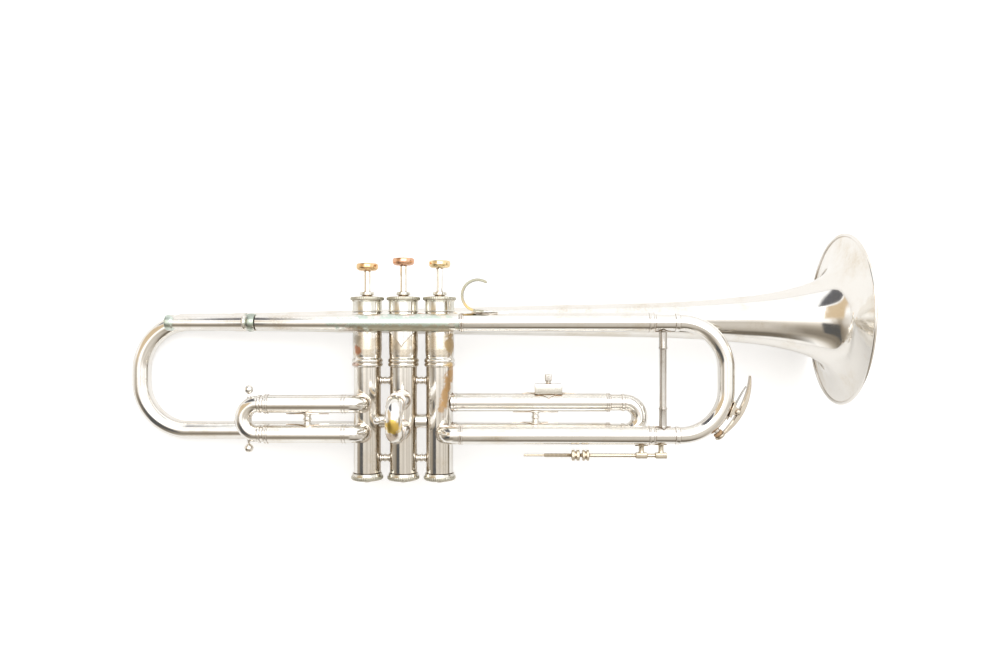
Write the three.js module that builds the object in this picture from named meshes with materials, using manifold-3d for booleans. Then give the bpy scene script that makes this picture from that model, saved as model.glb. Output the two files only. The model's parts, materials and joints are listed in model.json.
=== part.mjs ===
// A long-model cornet with three piston valves, lying on its left side. Millimetres.
// The model is drawn upright-on-its-side in the cornet's own axes, with the middle valve's axis at x = 0:
// +X runs towards the bell, +Y towards the finger buttons and +Z towards the player's right.
// The last section tips it on to its two resting points, the bell rim and the bell bow.

import * as THREE from 'three';
import { mergeVertices } from 'three/addons/utils/BufferGeometryUtils.js';
import Module from 'manifold-3d';

const wasm = await Module();
wasm.setup();

// ---------------------------------------------------------------- driving dimensions

const gap = 0.3; // between pieces that touch in the real instrument
const tubeSides = 12;

const valvePitch = 26;
const casingRadius = 9.65;
const pistonRadius = 8.35;
const pistonBore = 8.65;
const valveStroke = 14.5;
const casingSides = 18;

const legDepth = 18; // leadpipe and tuning slide, to the right of the valves
const bellDepth = -21; // bell and bell bow, to the left of the valves
const leadpipeHeight = 6.9;
const tuningLowerHeight = -71.2;

const upperPortHeight = -49.9;
const lowerPortHeight = -70.8;
const secondUpperHeight = -47.45;
const secondLowerHeight = -68.35;
const transferHeight = -63.4;
const bowLegHeight = -72.4;
const bellHeight = 7.8;

const slideLegRadius = 5.85;
const slideLegBore = 5.35;
const sleeveRadius = 6.5;
const sleeveBore = 6.1;
const elbowRadius = 7;

const sleeveEnd = 176.4; // free end of both tuning slide sleeves
const legTip = 110; // tuning slide legs reach back to here inside their sleeves
const crookCornerX = 193.65;
const crookCornerRadius = 32;

const bowTubeRadius = 6.65;
const bowBore = 6.1;
const bowCornerX = -162.4;
const bowCornerRadius = 36;
const bellTailX = -119.4;
const bellRimX = 318.5;
const bellRimRadius = 62.8;
const bellRise = THREE.MathUtils.degToRad(0.25);
const bellWall = 0.8;
const mouthLean = Math.tan(THREE.MathUtils.degToRad(1.3)); // how far the mouth's plane leans
const leaningLength = 90; // the lean dies away over this distance behind the rim

// distance behind the rim and outer radius, from the rim to the tail
const bellOutline = [
  [0, 61.8],
  [1.8, 50.5],
  [4.6, 42],
  [11.8, 33],
  [21, 27.8],
  [31.8, 24],
  [54.6, 19.1],
  [80.5, 16.2],
  [117.5, 13.5],
  [234.5, 11],
  [bellRimX - bellTailX, bowTubeRadius],
];

// ---------------------------------------------------------------- materials

const metal = (color, roughness) => new THREE.MeshStandardMaterial({ color, roughness, metalness: 1 });
const silver = () => metal(0xcfc8b8, 0.25);
const brass = () => metal(0xc9974a, 0.35);
const steel = () => metal(0x8f8d88, 0.4);
const cork = () => new THREE.MeshStandardMaterial({ color: 0x9a6f45, roughness: 0.9, metalness: 0 });

// ---------------------------------------------------------------- solids

// closes a geometry's seams, drops triangles of no area and turns its faces outwards
function solidOf(geometry) {
  const bare = geometry.clone();
  bare.deleteAttribute('normal');
  bare.deleteAttribute('uv');
  const welded = mergeVertices(bare, 1e-4);
  const corners = welded.index.array;
  const position = welded.attributes.position;
  const faces = [];
  for (let i = 0; i < corners.length; i += 3) {
    const [a, b, c] = corners.slice(i, i + 3);
    if (a !== b && b !== c && c !== a) faces.push([a, b, c]);
  }
  const corner = (i) => new THREE.Vector3().fromBufferAttribute(position, i);
  const volume = faces.reduce((sum, [a, b, c]) => sum + corner(a).dot(corner(b).cross(corner(c))), 0);
  const outward = volume < 0 ? faces.map(([a, b, c]) => [a, c, b]) : faces;
  const triVerts = Uint32Array.from(outward.flat());
  return new wasm.Manifold(new wasm.Mesh({ numProp: 3, vertProperties: position.array, triVerts }));
}

function geometryOf(solid) {
  const mesh = solid.getMesh();
  const geometry = new THREE.BufferGeometry();
  geometry.setAttribute('position', new THREE.BufferAttribute(mesh.vertProperties, 3));
  geometry.setIndex(new THREE.BufferAttribute(mesh.triVerts, 1));
  return geometry;
}

const joined = (...pieces) => geometryOf(pieces.map(solidOf).reduce((a, b) => a.add(b)));
const common = (piece, other) => geometryOf(solidOf(piece).intersect(solidOf(other)));
const cut = (piece, ...tools) =>
  geometryOf(tools.reduce((left, tool) => left.subtract(solidOf(tool)), solidOf(piece)));

const alongX = (geometry) => geometry.rotateZ(-Math.PI / 2);
const alongZ = (geometry) => geometry.rotateX(Math.PI / 2);

// turned about Y; each point is [radius, height], and an open outline starts and ends on the axis
function turned(outline, sides = tubeSides) {
  const points = outline.map(([radius, height]) => new THREE.Vector2(radius, height));
  return geometryOf(solidOf(new THREE.LatheGeometry(points, sides)));
}

function ring(inner, outer, start, end, sides = tubeSides) {
  return turned([[inner, start], [outer, start], [outer, end], [inner, end], [inner, start]], sides);
}

function rod(radius, start, end, sides = tubeSides) {
  return turned([[0, start], [radius, start], [radius, end], [0, end]], sides);
}

function block(width, height, depth, x, y, z) {
  return new THREE.BoxGeometry(width, height, depth).translate(x, y, z);
}

// a straight or round stretch of tube route
class Arc extends THREE.Curve {
  constructor(centre, from, towards, angle) {
    super();
    Object.assign(this, { centre, from, towards, angle });
  }

  getPoint(t, target = new THREE.Vector3()) {
    const turn = t * this.angle;
    return target.copy(this.centre)
      .addScaledVector(this.from, Math.cos(turn))
      .addScaledVector(this.towards, Math.sin(turn));
  }

  getTangent(t, target = new THREE.Vector3()) {
    const turn = t * this.angle;
    return target.set(0, 0, 0)
      .addScaledVector(this.from, -Math.sin(turn))
      .addScaledVector(this.towards, Math.cos(turn))
      .normalize();
  }
}

// a tube route whose parameter takes one step over each straight and several over each bend
class TubeRoute extends THREE.Curve {
  constructor() {
    super();
    this.stretches = [];
  }

  get steps() {
    return this.stretches.reduce((sum, stretch) => sum + stretch.steps, 0);
  }

  straight(from, to) {
    this.stretches.push({ curve: new THREE.LineCurve3(from, to), steps: 1 });
    return this;
  }

  bend(centre, from, towards, angle, steps = 4) {
    this.stretches.push({ curve: new Arc(centre, from, towards, angle), steps });
    return this;
  }

  at(u) {
    let left = u * this.steps;
    for (const stretch of this.stretches) {
      if (left <= stretch.steps + 1e-9) return [stretch.curve, Math.min(1, left / stretch.steps)];
      left -= stretch.steps;
    }
    return [this.stretches.at(-1).curve, 1];
  }

  getPointAt(u, target) {
    const [curve, t] = this.at(u);
    return curve.getPoint(t, target);
  }

  getTangentAt(u, target) {
    const [curve, t] = this.at(u);
    return curve.getTangent(t, target);
  }
}

function sweep(route, outer, inner = 0, sides = tubeSides) {
  const section = new THREE.Shape().absarc(0, 0, outer, 0, 2 * Math.PI);
  if (inner > 0) section.holes.push(new THREE.Path().absarc(0, 0, inner, 0, 2 * Math.PI, true));
  const settings = { extrudePath: route, steps: route.steps, curveSegments: sides / 2 };
  return geometryOf(solidOf(new THREE.ExtrudeGeometry(section, settings)));
}

// a thin pointed flange that hugs a tube along X and faces +Y
function leafFlange(tubeRadius, length, width, thickness = 0.7) {
  const inner = tubeRadius + gap;
  const shell = alongX(ring(inner, inner + thickness, -length / 2, length / 2));
  const leaf = new THREE.Shape();
  leaf.moveTo(-length / 2, 0);
  leaf.quadraticCurveTo(-length / 5, width * 0.12, 0, width / 2);
  leaf.quadraticCurveTo(length / 5, width * 0.12, length / 2, 0);
  leaf.quadraticCurveTo(length / 5, -width * 0.12, 0, -width / 2);
  leaf.quadraticCurveTo(-length / 5, -width * 0.12, -length / 2, 0);
  const settings = { depth: 2 * inner, bevelEnabled: false, curveSegments: 2 };
  return common(shell, new THREE.ExtrudeGeometry(leaf, settings).rotateX(-Math.PI / 2));
}

function spool(length, flangeRadius, waistRadius) {
  const half = length / 2;
  return turned([
    [0, -half], [flangeRadius, -half], [flangeRadius, 1 - half], [waistRadius, 1.6 - half],
    [waistRadius, half - 1.6], [flangeRadius, half - 1], [flangeRadius, half], [0, half],
  ], 10);
}

function mesh(name, geometry, material) {
  const piece = new THREE.Mesh(geometry, material);
  piece.name = name;
  return piece;
}

function groupAt(x, y, z, ...pieces) {
  const group = new THREE.Group();
  group.position.set(x, y, z);
  group.add(...pieces);
  return group;
}

const v = (x, y, z) => new THREE.Vector3(x, y, z);

// the space a casing takes, for trimming what is soldered to it
const casingSpace = (x = 0) => rod(casingRadius + gap, -120, 30, casingSides).translate(x, 0, 0);

// ---------------------------------------------------------------- valves

const ledgeHeight = -19.5;
const pistonTop = -22;
const pistonBottom = -84;
const portRadius = 4.2;

// each port is [x, height, direction], where the direction is the side of the casing it opens on
const transferPorts = { towardsTail: [0, transferHeight, '-x'], towardsBell: [0, transferHeight, '+x'] };
const casingPorts = [
  [[-2.4, upperPortHeight, '+z'], [-2.4, lowerPortHeight, '+z'], [-2, bowLegHeight, '-z'],
    transferPorts.towardsBell],
  [[0, secondUpperHeight, '+z'], [0, secondLowerHeight, '+z'], transferPorts.towardsTail,
    transferPorts.towardsBell],
  [[0, upperPortHeight, '+x'], [0, lowerPortHeight, '+x'], [3.6, tuningLowerHeight, '+z'],
    transferPorts.towardsTail],
];

function portDrill([x, height, side]) {
  const sign = side[0] === '+' ? 1 : -1;
  const radius = x > 0 ? portRadius - 0.6 : portRadius;
  const drill = rod(radius, 3, 14, 10);
  const turnedDrill = side[1] === 'x' ? alongX(drill) : alongZ(drill);
  return (sign < 0 ? turnedDrill.rotateY(Math.PI) : turnedDrill).translate(x, height, 0);
}

function casingGeometry(ports) {
  const body = turned([
    [pistonBore, -103.6], [9.15, -103.6], [9.15, -100.1], [casingRadius, -100.1],
    [casingRadius, -24.4], [11, -23.6], [11, -22.2], [10.3, -21.5], [11, -20.8], [11, -19.2],
    [9.9, -18.1], [10.35, -12], [10.35, 14.4], [9.85, 14.4], [9.85, 21.2], [9.1, 21.2], [9.1, ledgeHeight],
    [5, ledgeHeight], [5, ledgeHeight - 2], [pistonBore, ledgeHeight - 2], [pistonBore, -103.6],
  ], casingSides);
  return cut(body, ...ports.map(portDrill));
}

function topCapGeometry() {
  return turned([
    [10.15, 14.7], [10.7, 14.7], [10.5, 22], [11.95, 22.9], [11.95, 25.3], [3.6, 25.9],
    [5.1, 26.6], [5.1, 29.1], [2.75, 29.1], [2.75, 22], [10.15, 22], [10.15, 14.7],
  ], casingSides);
}

function bottomCapGeometry() {
  return turned([
    [9.45, -100.4], [10.5, -100.4], [10.6, -102.2], [11.4, -103.3], [10.8, -105.4],
    [2.75, -105.4], [2.75, -107.2], [1, -107.2], [1, -104], [9.45, -104],
    [9.45, -100.4],
  ], casingSides);
}

// the three windways: one lines up with the casing ports at rest, two when the valve is down
function pistonGeometry() {
  const body = turned([
    [0, -78.5], [6.6, -78.5], [6.6, pistonBottom], [pistonRadius, pistonBottom],
    [pistonRadius, pistonTop], [6.9, pistonTop], [6.9, -29], [0, -29],
  ], casingSides);
  const windway = (middle, rise, turn) => {
    const slope = Math.atan(rise / (2 * casingRadius));
    return alongX(rod(4, -14, 14, 10)).rotateZ(slope).rotateY(turn).translate(0, middle, 0);
  };
  const openMiddle = (transferHeight + bowLegHeight) / 2;
  const downUpper = (transferHeight + upperPortHeight) / 2 + valveStroke;
  const downLower = (lowerPortHeight + bowLegHeight) / 2 + valveStroke;
  const openRise = transferHeight - bowLegHeight;
  const upperRise = upperPortHeight - transferHeight;
  return cut(body, windway(openMiddle, openRise, 0), windway(downUpper, upperRise, Math.PI / 3),
    windway(downLower, 0, Math.PI / 2));
}

function stemGeometry(top) {
  return turned([
    [0, -28.7], [6.4, -28.7], [6.4, -27.2], [2.45, -27.2], [2.45, 18.3], [7.4, 18.3],
    [7.4, 19.6], [2.45, 19.6], [2.45, top], [0, top],
  ], 12);
}

function buttonGeometry() {
  return turned([
    [0, 3.3], [2.75, 3.3], [2.75, 0], [5.2, 0], [7.2, 1.2], [7.8, 2.6], [7.4, 4.5], [5, 5.4],
    [0, 5.7],
  ], 16);
}

// one coil spring between the casing's ledge and the collar on the stem
class Helix extends THREE.Curve {
  constructor(radius, start, end, turns) {
    super();
    Object.assign(this, { radius, start, end, turns });
  }

  getPoint(t, target = new THREE.Vector3()) {
    const angle = 2 * Math.PI * this.turns * t;
    const height = THREE.MathUtils.lerp(this.start, this.end, t);
    return target.set(this.radius * Math.cos(angle), height, this.radius * Math.sin(angle));
  }
}

function springGeometry() {
  const turns = 6;
  const wire = new THREE.Shape().absarc(0, 0, 0.7, 0, 2 * Math.PI);
  const coil = new Helix(6.2, ledgeHeight + 1.2, 17, turns);
  return new THREE.ExtrudeGeometry(wire, { extrudePath: coil, steps: turns * 8, curveSegments: 2 });
}

const buttonHeights = [44.1, 47.9, 46]; // undersides of the finger buttons at rest

function valves() {
  return buttonHeights.map((buttonHeight, i) => {
    const n = i + 1;
    const button = mesh(`finger_button_${n}`, buttonGeometry(), brass());
    button.position.y = buttonHeight;
    return groupAt(i * valvePitch - valvePitch, 0, 0,
      mesh(`valve_casing_${n}`, casingGeometry(casingPorts[i]), silver()),
      mesh(`top_cap_${n}`, topCapGeometry(), silver()),
      mesh(`bottom_cap_${n}`, bottomCapGeometry(), silver()),
      mesh(`piston_${n}`, pistonGeometry(), steel()),
      mesh(`stem_${n}`, stemGeometry(buttonHeight + 3), silver()),
      mesh(`valve_spring_${n}`, springGeometry(), steel()),
      button);
  });
}

// what joins one casing to the next: two spools and the transfer tube
function casingLinks() {
  const sides = [casingSpace(-valvePitch / 2), casingSpace(valvePitch / 2)];
  const brace = (height) => cut(alongX(spool(9, 3, 2.1)).translate(0, height, 0), ...sides);
  const transfer = () => cut(alongX(ring(4.3, 5.25, -6, 6)).translate(0, transferHeight, 0), ...sides);
  return ['12', '23'].map((pair, i) => groupAt(i * valvePitch - valvePitch / 2, 0, 0,
    mesh(`upper_casing_brace_${pair}`, brace(-34.3), silver()),
    mesh(`lower_casing_brace_${pair}`, brace(-89.7), silver()),
    mesh(`transfer_tube_${pair}`, transfer(), silver())));
}

// ---------------------------------------------------------------- valve slides

const slideLegPitch = upperPortHeight - lowerPortHeight;
const slideBendRadius = slideLegPitch / 2;
const slideMiddle = (upperPortHeight + lowerPortHeight) / 2;

// a U of tube in the XY plane about x = 0, opening towards +X, with its two end rings
function slideBow(legLength, insertion) {
  const r = slideBendRadius;
  const route = new TubeRoute()
    .straight(v(legLength + insertion, r, 0), v(0, r, 0))
    .bend(v(0, 0, 0), v(0, r, 0), v(-r, 0, 0), Math.PI, 8)
    .straight(v(0, -r, 0), v(legLength + insertion, -r, 0));
  const tube = sweep(route, slideLegRadius, slideLegBore);
  const endRing = (side) => alongX(ring(5.6, 6.35, 0.6, 2.4)).translate(0, side * r, 0);
  return joined(tube, endRing(1), endRing(-1));
}

// a ball on a waisted neck, standing up Y from a foot at the origin
function pullKnob(neckLength, ballRadius) {
  const outline = [[0, -1.2], [2, -1.2], [1.9, 0.4], [1, 1]];
  const ballHeight = neckLength + ballRadius;
  for (let i = 1; i <= 4; i += 1) {
    const angle = -Math.PI / 2 + (Math.PI * i) / 5;
    outline.push([ballRadius * Math.cos(angle), ballHeight + ballRadius * Math.sin(angle)]);
  }
  outline.push([0, ballHeight + ballRadius]);
  return turned(outline, 8);
}

// the two leaf flanges and the spool that tie the sleeves of one slide together
function slideBrace(flangeLength) {
  const reach = slideLegPitch - 2 * sleeveRadius;
  const flange = () => leafFlange(sleeveRadius, flangeLength, 8);
  const topFlange = flange().rotateX(Math.PI).translate(0, slideBendRadius, 0);
  const lowFlange = flange().translate(0, -slideBendRadius, 0);
  const tubes = [slideBendRadius, -slideBendRadius].map(
    (y) => alongX(rod(sleeveRadius + gap, -6, 6)).translate(0, y, 0));
  return joined(cut(spool(reach + 1, 2.9, 2), ...tubes), topFlange, lowFlange);
}

const ferrule = (start, end, radius = sleeveRadius + 0.55) =>
  alongX(turned([
    [sleeveBore + 0.15, start], [radius, start], [radius, end], [sleeveBore + 0.15, end],
    [sleeveBore + 0.15, start],
  ]));

function firstSlide() {
  const depth = 16.5;
  const sleeveTip = -69;
  const elbowX = -9.4;
  const bendX = -73.7;
  const sleeve = (height) => {
    const route = new TubeRoute()
      .straight(v(sleeveTip, 0, depth), v(elbowX, 0, depth))
      .bend(v(elbowX, 0, depth - elbowRadius), v(0, 0, elbowRadius), v(elbowRadius, 0, 0), Math.PI / 2)
      .straight(v(elbowX + elbowRadius, 0, depth - elbowRadius), v(elbowX + elbowRadius, 0, 4));
    const rings = [ferrule(sleeveTip - 0.1, -64.8), ferrule(-14.9, -12.2)];
    rings.forEach((r) => r.translate(0, 0, depth));
    const tube = joined(sweep(route, sleeveRadius, sleeveBore), ...rings);
    return cut(tube.translate(0, height, 0), casingSpace());
  };
  const knobX = -6.4;
  const knobRise = Math.sqrt((slideBendRadius + slideLegRadius) ** 2 - knobX ** 2) - 0.6;
  const knob = pullKnob(3, 3.1).translate(knobX, knobRise, 0);
  const bow = joined(slideBow(sleeveTip - bendX, 44), knob, knob.clone().rotateX(Math.PI));
  const bowMesh = mesh('first_slide_bow', bow, silver());
  bowMesh.position.set(bendX, slideMiddle, depth);
  const brace = mesh('first_slide_brace', slideBrace(30), silver());
  brace.position.set(-39, slideMiddle, depth);
  return groupAt(-valvePitch, 0, 0,
    mesh('first_slide_upper_sleeve', sleeve(upperPortHeight), silver()),
    mesh('first_slide_lower_sleeve', sleeve(lowerPortHeight), silver()),
    brace, bowMesh);
}

function secondSlide() {
  const sleeveTip = 36;
  const bendZ = 39.2;
  const sleeve = (height) => {
    const tube = joined(alongX(ring(sleeveBore, sleeveRadius, 4, sleeveTip)), ferrule(32.6, sleeveTip));
    return cut(tube.rotateY(-Math.PI / 2).translate(0, height, 0), casingSpace());
  };
  const knob = pullKnob(3.2, 2.5).rotateZ(Math.PI / 2).rotateY(-Math.PI / 2)
    .translate(-slideBendRadius, 0, 0.6 - slideLegRadius);
  const bow = mesh('second_slide_bow', joined(slideBow(bendZ - sleeveTip, 20), knob), silver());
  bow.rotation.y = Math.PI / 2;
  bow.position.set(0, (secondUpperHeight + secondLowerHeight) / 2, bendZ);
  return groupAt(0, 0, 0,
    mesh('second_slide_upper_sleeve', sleeve(secondUpperHeight), silver()),
    mesh('second_slide_lower_sleeve', sleeve(secondLowerHeight), silver()),
    bow);
}

const lyreX = 77.7;
const lyreTop = -36.5;

function lyreHolder() {
  const sleeveTop = upperPortHeight + sleeveRadius;
  const roof = 1;
  const slotHeight = 4.6;
  const height = lyreTop - sleeveTop + 0.5;
  const box = block(19.4, height, 9.4, lyreX, lyreTop - height / 2, 0);
  const slot = block(30, slotHeight, 7, lyreX, lyreTop - roof - slotHeight / 2, 0);
  const screwHole = rod(2.1, lyreTop - 3, lyreTop + 1, 12).translate(lyreX, 0, 0);
  const flange = leafFlange(sleeveRadius, 37, 13.6).translate(lyreX, upperPortHeight, 0);
  const tube = alongX(rod(sleeveRadius + gap, 40, 115)).translate(0, upperPortHeight, 0);
  return cut(joined(cut(box, tube), flange), slot, screwHole);
}

function lyreScrewGeometry() {
  return turned([
    [0, lyreTop - 0.95], [1.8, lyreTop - 0.95], [1.8, lyreTop + 2.2], [2.6, lyreTop + 2.4],
    [2.6, lyreTop + 6.9], [0, lyreTop + 6.9],
  ], 12).translate(lyreX, 0, 0);
}

function thirdSlide() {
  const sleeveTip = 121.6;
  const bendX = 132.1;
  const sleeve = (height) => {
    const rings = [ferrule(118, sleeveTip), ferrule(10.4, 12.2, sleeveRadius + 0.3)];
    const tube = joined(alongX(ring(sleeveBore, sleeveRadius, 4, sleeveTip)), ...rings);
    return cut(tube.translate(0, height, 0), casingSpace());
  };
  const bow = mesh('third_slide_bow', slideBow(bendX - sleeveTip, 40), silver());
  bow.rotation.y = Math.PI;
  bow.position.set(bendX, slideMiddle, 0);
  const brace = mesh('third_slide_brace', slideBrace(32), silver());
  brace.position.set(68.5, slideMiddle, 0);
  return groupAt(valvePitch, 0, 0,
    mesh('third_slide_upper_sleeve', sleeve(upperPortHeight), silver()),
    mesh('third_slide_lower_sleeve', sleeve(lowerPortHeight), silver()),
    brace, bow,
    mesh('lyre_holder', lyreHolder(), silver()),
    mesh('lyre_screw', lyreScrewGeometry(), silver()));
}

// ---------------------------------------------------------------- leadpipe

const leadpipeStart = -100.4;
const leadpipeEnd = 41.4;

function receiverGeometry() {
  return alongX(turned([
    [4.6, -163.6], [5.6, -163.6], [5.6, -158.6], [5.05, -158.2], [5.05, -109.3], [6.4, -108.2],
    [5.9, -106.3], [6.4, -104.4], [6.1, -100.9], [3.9, -100.9], [4.6, -163.6],
  ]));
}

function leadpipeGeometry() {
  return alongX(turned([
    [3.9, leadpipeStart], [5.15, leadpipeStart], [6, -38], [6.25, leadpipeEnd], [5.5, leadpipeEnd],
    [3.9, leadpipeStart],
  ]));
}

// a shield-shaped flange on the middle casing with a short post to the leadpipe
function leadpipeBraceGeometry() {
  const inner = 10.35 + gap;
  const shell = ring(inner, inner + 0.6, -12, 14, casingSides);
  const shield = new THREE.Shape();
  shield.moveTo(-9.4, 0);
  shield.lineTo(-9.4, 9);
  shield.quadraticCurveTo(0, 17, 9.4, 9);
  shield.lineTo(9.4, 0);
  shield.quadraticCurveTo(4, -4.5, 0, -10.4);
  shield.quadraticCurveTo(-4, -4.5, -9.4, 0);
  const prism = new THREE.ExtrudeGeometry(shield, { depth: 20, bevelEnabled: false, curveSegments: 4 });
  const post = alongZ(rod(3, inner + 0.2, 16)).translate(0, leadpipeHeight, 0);
  const pipe = alongX(rod(6.25 + gap, -20, 20)).translate(0, leadpipeHeight, legDepth);
  return joined(common(shell, prism), cut(post, pipe));
}

// a strip bent round the little finger, on the tuning slide's upper sleeve
function pinkyHookGeometry() {
  const middle = { x: 54.1, y: 25.7 };
  const radius = 10.8;
  const thickness = 1.7;
  const outer = radius + thickness / 2;
  const inner = radius - thickness / 2;
  const bottom = THREE.MathUtils.degToRad(-90);
  const tip = THREE.MathUtils.degToRad(57);
  const outline = new THREE.Shape();
  outline.moveTo(75, middle.y - outer);
  outline.lineTo(middle.x, middle.y - outer);
  outline.absarc(middle.x, middle.y, outer, bottom, tip, true);
  outline.absarc(middle.x, middle.y, inner, tip, bottom, false);
  outline.lineTo(75, middle.y - outer + 0.5);
  const strip = new THREE.ExtrudeGeometry(outline, { depth: 7, bevelEnabled: false, curveSegments: 16 });
  return strip.translate(0, 0, legDepth - 3.5);
}

// ---------------------------------------------------------------- tuning slide

const tuningMiddle = (leadpipeHeight + tuningLowerHeight) / 2;
const tuningHalf = (leadpipeHeight - tuningLowerHeight) / 2;

function upperTuningSleeve() {
  const rings = [ferrule(41.75, 44, 6.95), ferrule(sleeveEnd - 4.1, sleeveEnd)];
  const tube = alongX(ring(sleeveBore, sleeveRadius, 41.75, sleeveEnd));
  return joined(tube, ...rings).translate(0, leadpipeHeight, legDepth);
}

function lowerTuningSleeve() {
  const entryX = 30.6;
  const elbowX = entryX + elbowRadius;
  const route = new TubeRoute()
    .straight(v(sleeveEnd, 0, 0), v(elbowX, 0, 0))
    .bend(v(elbowX, 0, -elbowRadius), v(0, 0, elbowRadius), v(-elbowRadius, 0, 0), Math.PI / 2)
    .straight(v(entryX, 0, -elbowRadius), v(entryX, 0, -14.5));
  const rings = [ferrule(sleeveEnd - 4.1, sleeveEnd), ferrule(41, 43.5, sleeveRadius + 0.4)];
  const tube = joined(sweep(route, sleeveRadius, sleeveBore), ...rings);
  const thirdSleeve = alongX(rod(sleeveRadius + gap, 20, 60)).translate(0, lowerPortHeight, 0);
  const placed = tube.translate(0, tuningLowerHeight, legDepth);
  return cut(placed, casingSpace(valvePitch), thirdSleeve);
}

// the D-shaped crook, about the middle of its two legs
function crookRoute(legEnd) {
  const r = crookCornerRadius;
  const half = tuningHalf;
  const x = crookCornerX;
  const corner = half - r;
  return new TubeRoute()
    .straight(v(legEnd, half, 0), v(x, half, 0))
    .bend(v(x, corner, 0), v(0, r, 0), v(r, 0, 0), Math.PI / 2)
    .straight(v(x + r, corner, 0), v(x + r, -corner, 0))
    .bend(v(x, -corner, 0), v(r, 0, 0), v(0, -r, 0), Math.PI / 2)
    .straight(v(x, -half, 0), v(legEnd, -half, 0));
}

const seatAngle = THREE.MathUtils.degToRad(-49); // water key seat, about the lower corner's centre
const pivotAngle = THREE.MathUtils.degToRad(-21.6);
const pivotReach = 42;
const crookOuter = crookCornerRadius + slideLegRadius;

// turns a piece drawn along +X outwards to an angle about the crook's lower corner
const atCorner = (geometry, angle) =>
  geometry.rotateZ(angle).translate(crookCornerX, crookCornerRadius - tuningHalf, 0);

function crookGeometry() {
  const tube = sweep(crookRoute(legTip), slideLegRadius, slideLegBore);
  const legRing = (side) => alongX(ring(5.6, 6.35, 190.4, 193.4)).translate(0, side * tuningHalf, 0);
  const nipple = atCorner(alongX(rod(2.6, crookOuter - 0.8, crookOuter + 1.2, 12)), seatAngle);
  const drain = atCorner(alongX(rod(1.3, crookCornerRadius, crookOuter + 3, 8)), seatAngle);
  return cut(joined(tube, legRing(1), legRing(-1), nipple), drain);
}

const legSpace = (side, start, end) =>
  alongX(rod(slideLegRadius + gap, start, end)).translate(0, side * tuningHalf, 0);

function tuningBraceGeometry() {
  const x = 182.2;
  const end = tuningHalf - slideLegRadius;
  const column = turned([
    [0, -end], [2.7, -end], [2.7, 12 - end], [3, 12.4 - end], [3, 13.4 - end], [2.4, 13.9 - end],
    [2.4, end - 13], [3, end - 12.4], [3, end - 11.4], [2.7, end - 11], [2.7, end], [0, end],
  ], 10).translate(x, 0, 0);
  const upper = leafFlange(slideLegRadius, 10.8, 9).rotateX(Math.PI).translate(x, tuningHalf, 0);
  const lower = leafFlange(slideLegRadius, 10.8, 9).translate(x, -tuningHalf, 0);
  return joined(cut(column, legSpace(1, 175, 190), legSpace(-1, 175, 190)), upper, lower);
}

const stopRodDrop = -85 - tuningMiddle;
const stopPostWidth = 8;

// a round post under a leg with a cross block at its foot
function stopColumn(x, tubeRadius, flangeLength) {
  const flange = leafFlange(tubeRadius, flangeLength, 8).rotateX(Math.PI).translate(x, -tuningHalf, 0);
  const post = rod(2, stopRodDrop, -tuningHalf - tubeRadius + 1, 12).translate(x, 0, 0);
  const tube = alongX(rod(tubeRadius + gap, x - 6, x + 6)).translate(0, -tuningHalf, 0);
  const foot = block(stopPostWidth, 4, 4.4, x, stopRodDrop, 0);
  return joined(cut(post, tube), flange, foot);
}

function stopPostGeometry() {
  const hole = alongX(rod(1.7, 150, 190, 12)).translate(0, stopRodDrop, 0);
  return cut(stopColumn(167.3, sleeveRadius, 9), hole);
}

function stopRodGeometry() {
  const shaft = alongX(turned([
    [0, 86], [0.9, 86.3], [0.9, 100], [1.45, 100.4], [1.45, 132], [1.3, 132.4], [1.3, 182], [0, 182],
  ], 12)).translate(0, stopRodDrop, 0);
  return joined(stopColumn(180.8, slideLegRadius, 8), shaft);
}

function stopNutGeometry(start, end) {
  const middle = (start + end) / 2;
  return alongX(turned([
    [1.75, start], [3.75, start], [3.75, middle - 1], [2.7, middle - 0.5], [2.7, middle + 0.5],
    [3.75, middle + 1], [3.75, end], [1.75, end], [1.75, start],
  ])).translate(0, stopRodDrop, 0);
}

// ---------------------------------------------------------------- water key

const leverStart = seatAngle;
const leverEnd = THREE.MathUtils.degToRad(11);
const leverHalfWidth = 2.5;

// the lever's edge at a fraction of its length; side is 1 outside and -1 inside
function leverEdge(fraction, side) {
  const angle = THREE.MathUtils.lerp(leverStart, leverEnd, fraction);
  const thickness = 0.7 + 0.6 * (1 - fraction) + 2.7 * Math.sin(Math.PI * fraction);
  const reach = 42.6 + 6.6 * fraction ** 1.6 + (side * thickness) / 2;
  return new THREE.Vector2(reach * Math.cos(angle), reach * Math.sin(angle));
}

function leverGeometry() {
  const fractions = Array.from({ length: 11 }, (_, i) => i / 10);
  const outline = new THREE.Shape([
    ...fractions.map((fraction) => leverEdge(fraction, 1)),
    ...fractions.reverse().map((fraction) => leverEdge(fraction, -1)),
  ]);
  const blade = new THREE.ExtrudeGeometry(outline, { depth: 2 * leverHalfWidth, bevelEnabled: false })
    .translate(crookCornerX, crookCornerRadius - tuningHalf, -leverHalfWidth);
  const cup = atCorner(alongX(rod(4.1, 41.6, 43.2)), seatAngle);
  const atPivot = (piece) => atCorner(alongZ(piece).translate(pivotReach, 0, 0), pivotAngle);
  const boss = atPivot(rod(2.2, -leverHalfWidth, leverHalfWidth, 12));
  return cut(joined(blade, cup, boss), atPivot(rod(1.2, -6, 6, 12)));
}

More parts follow.
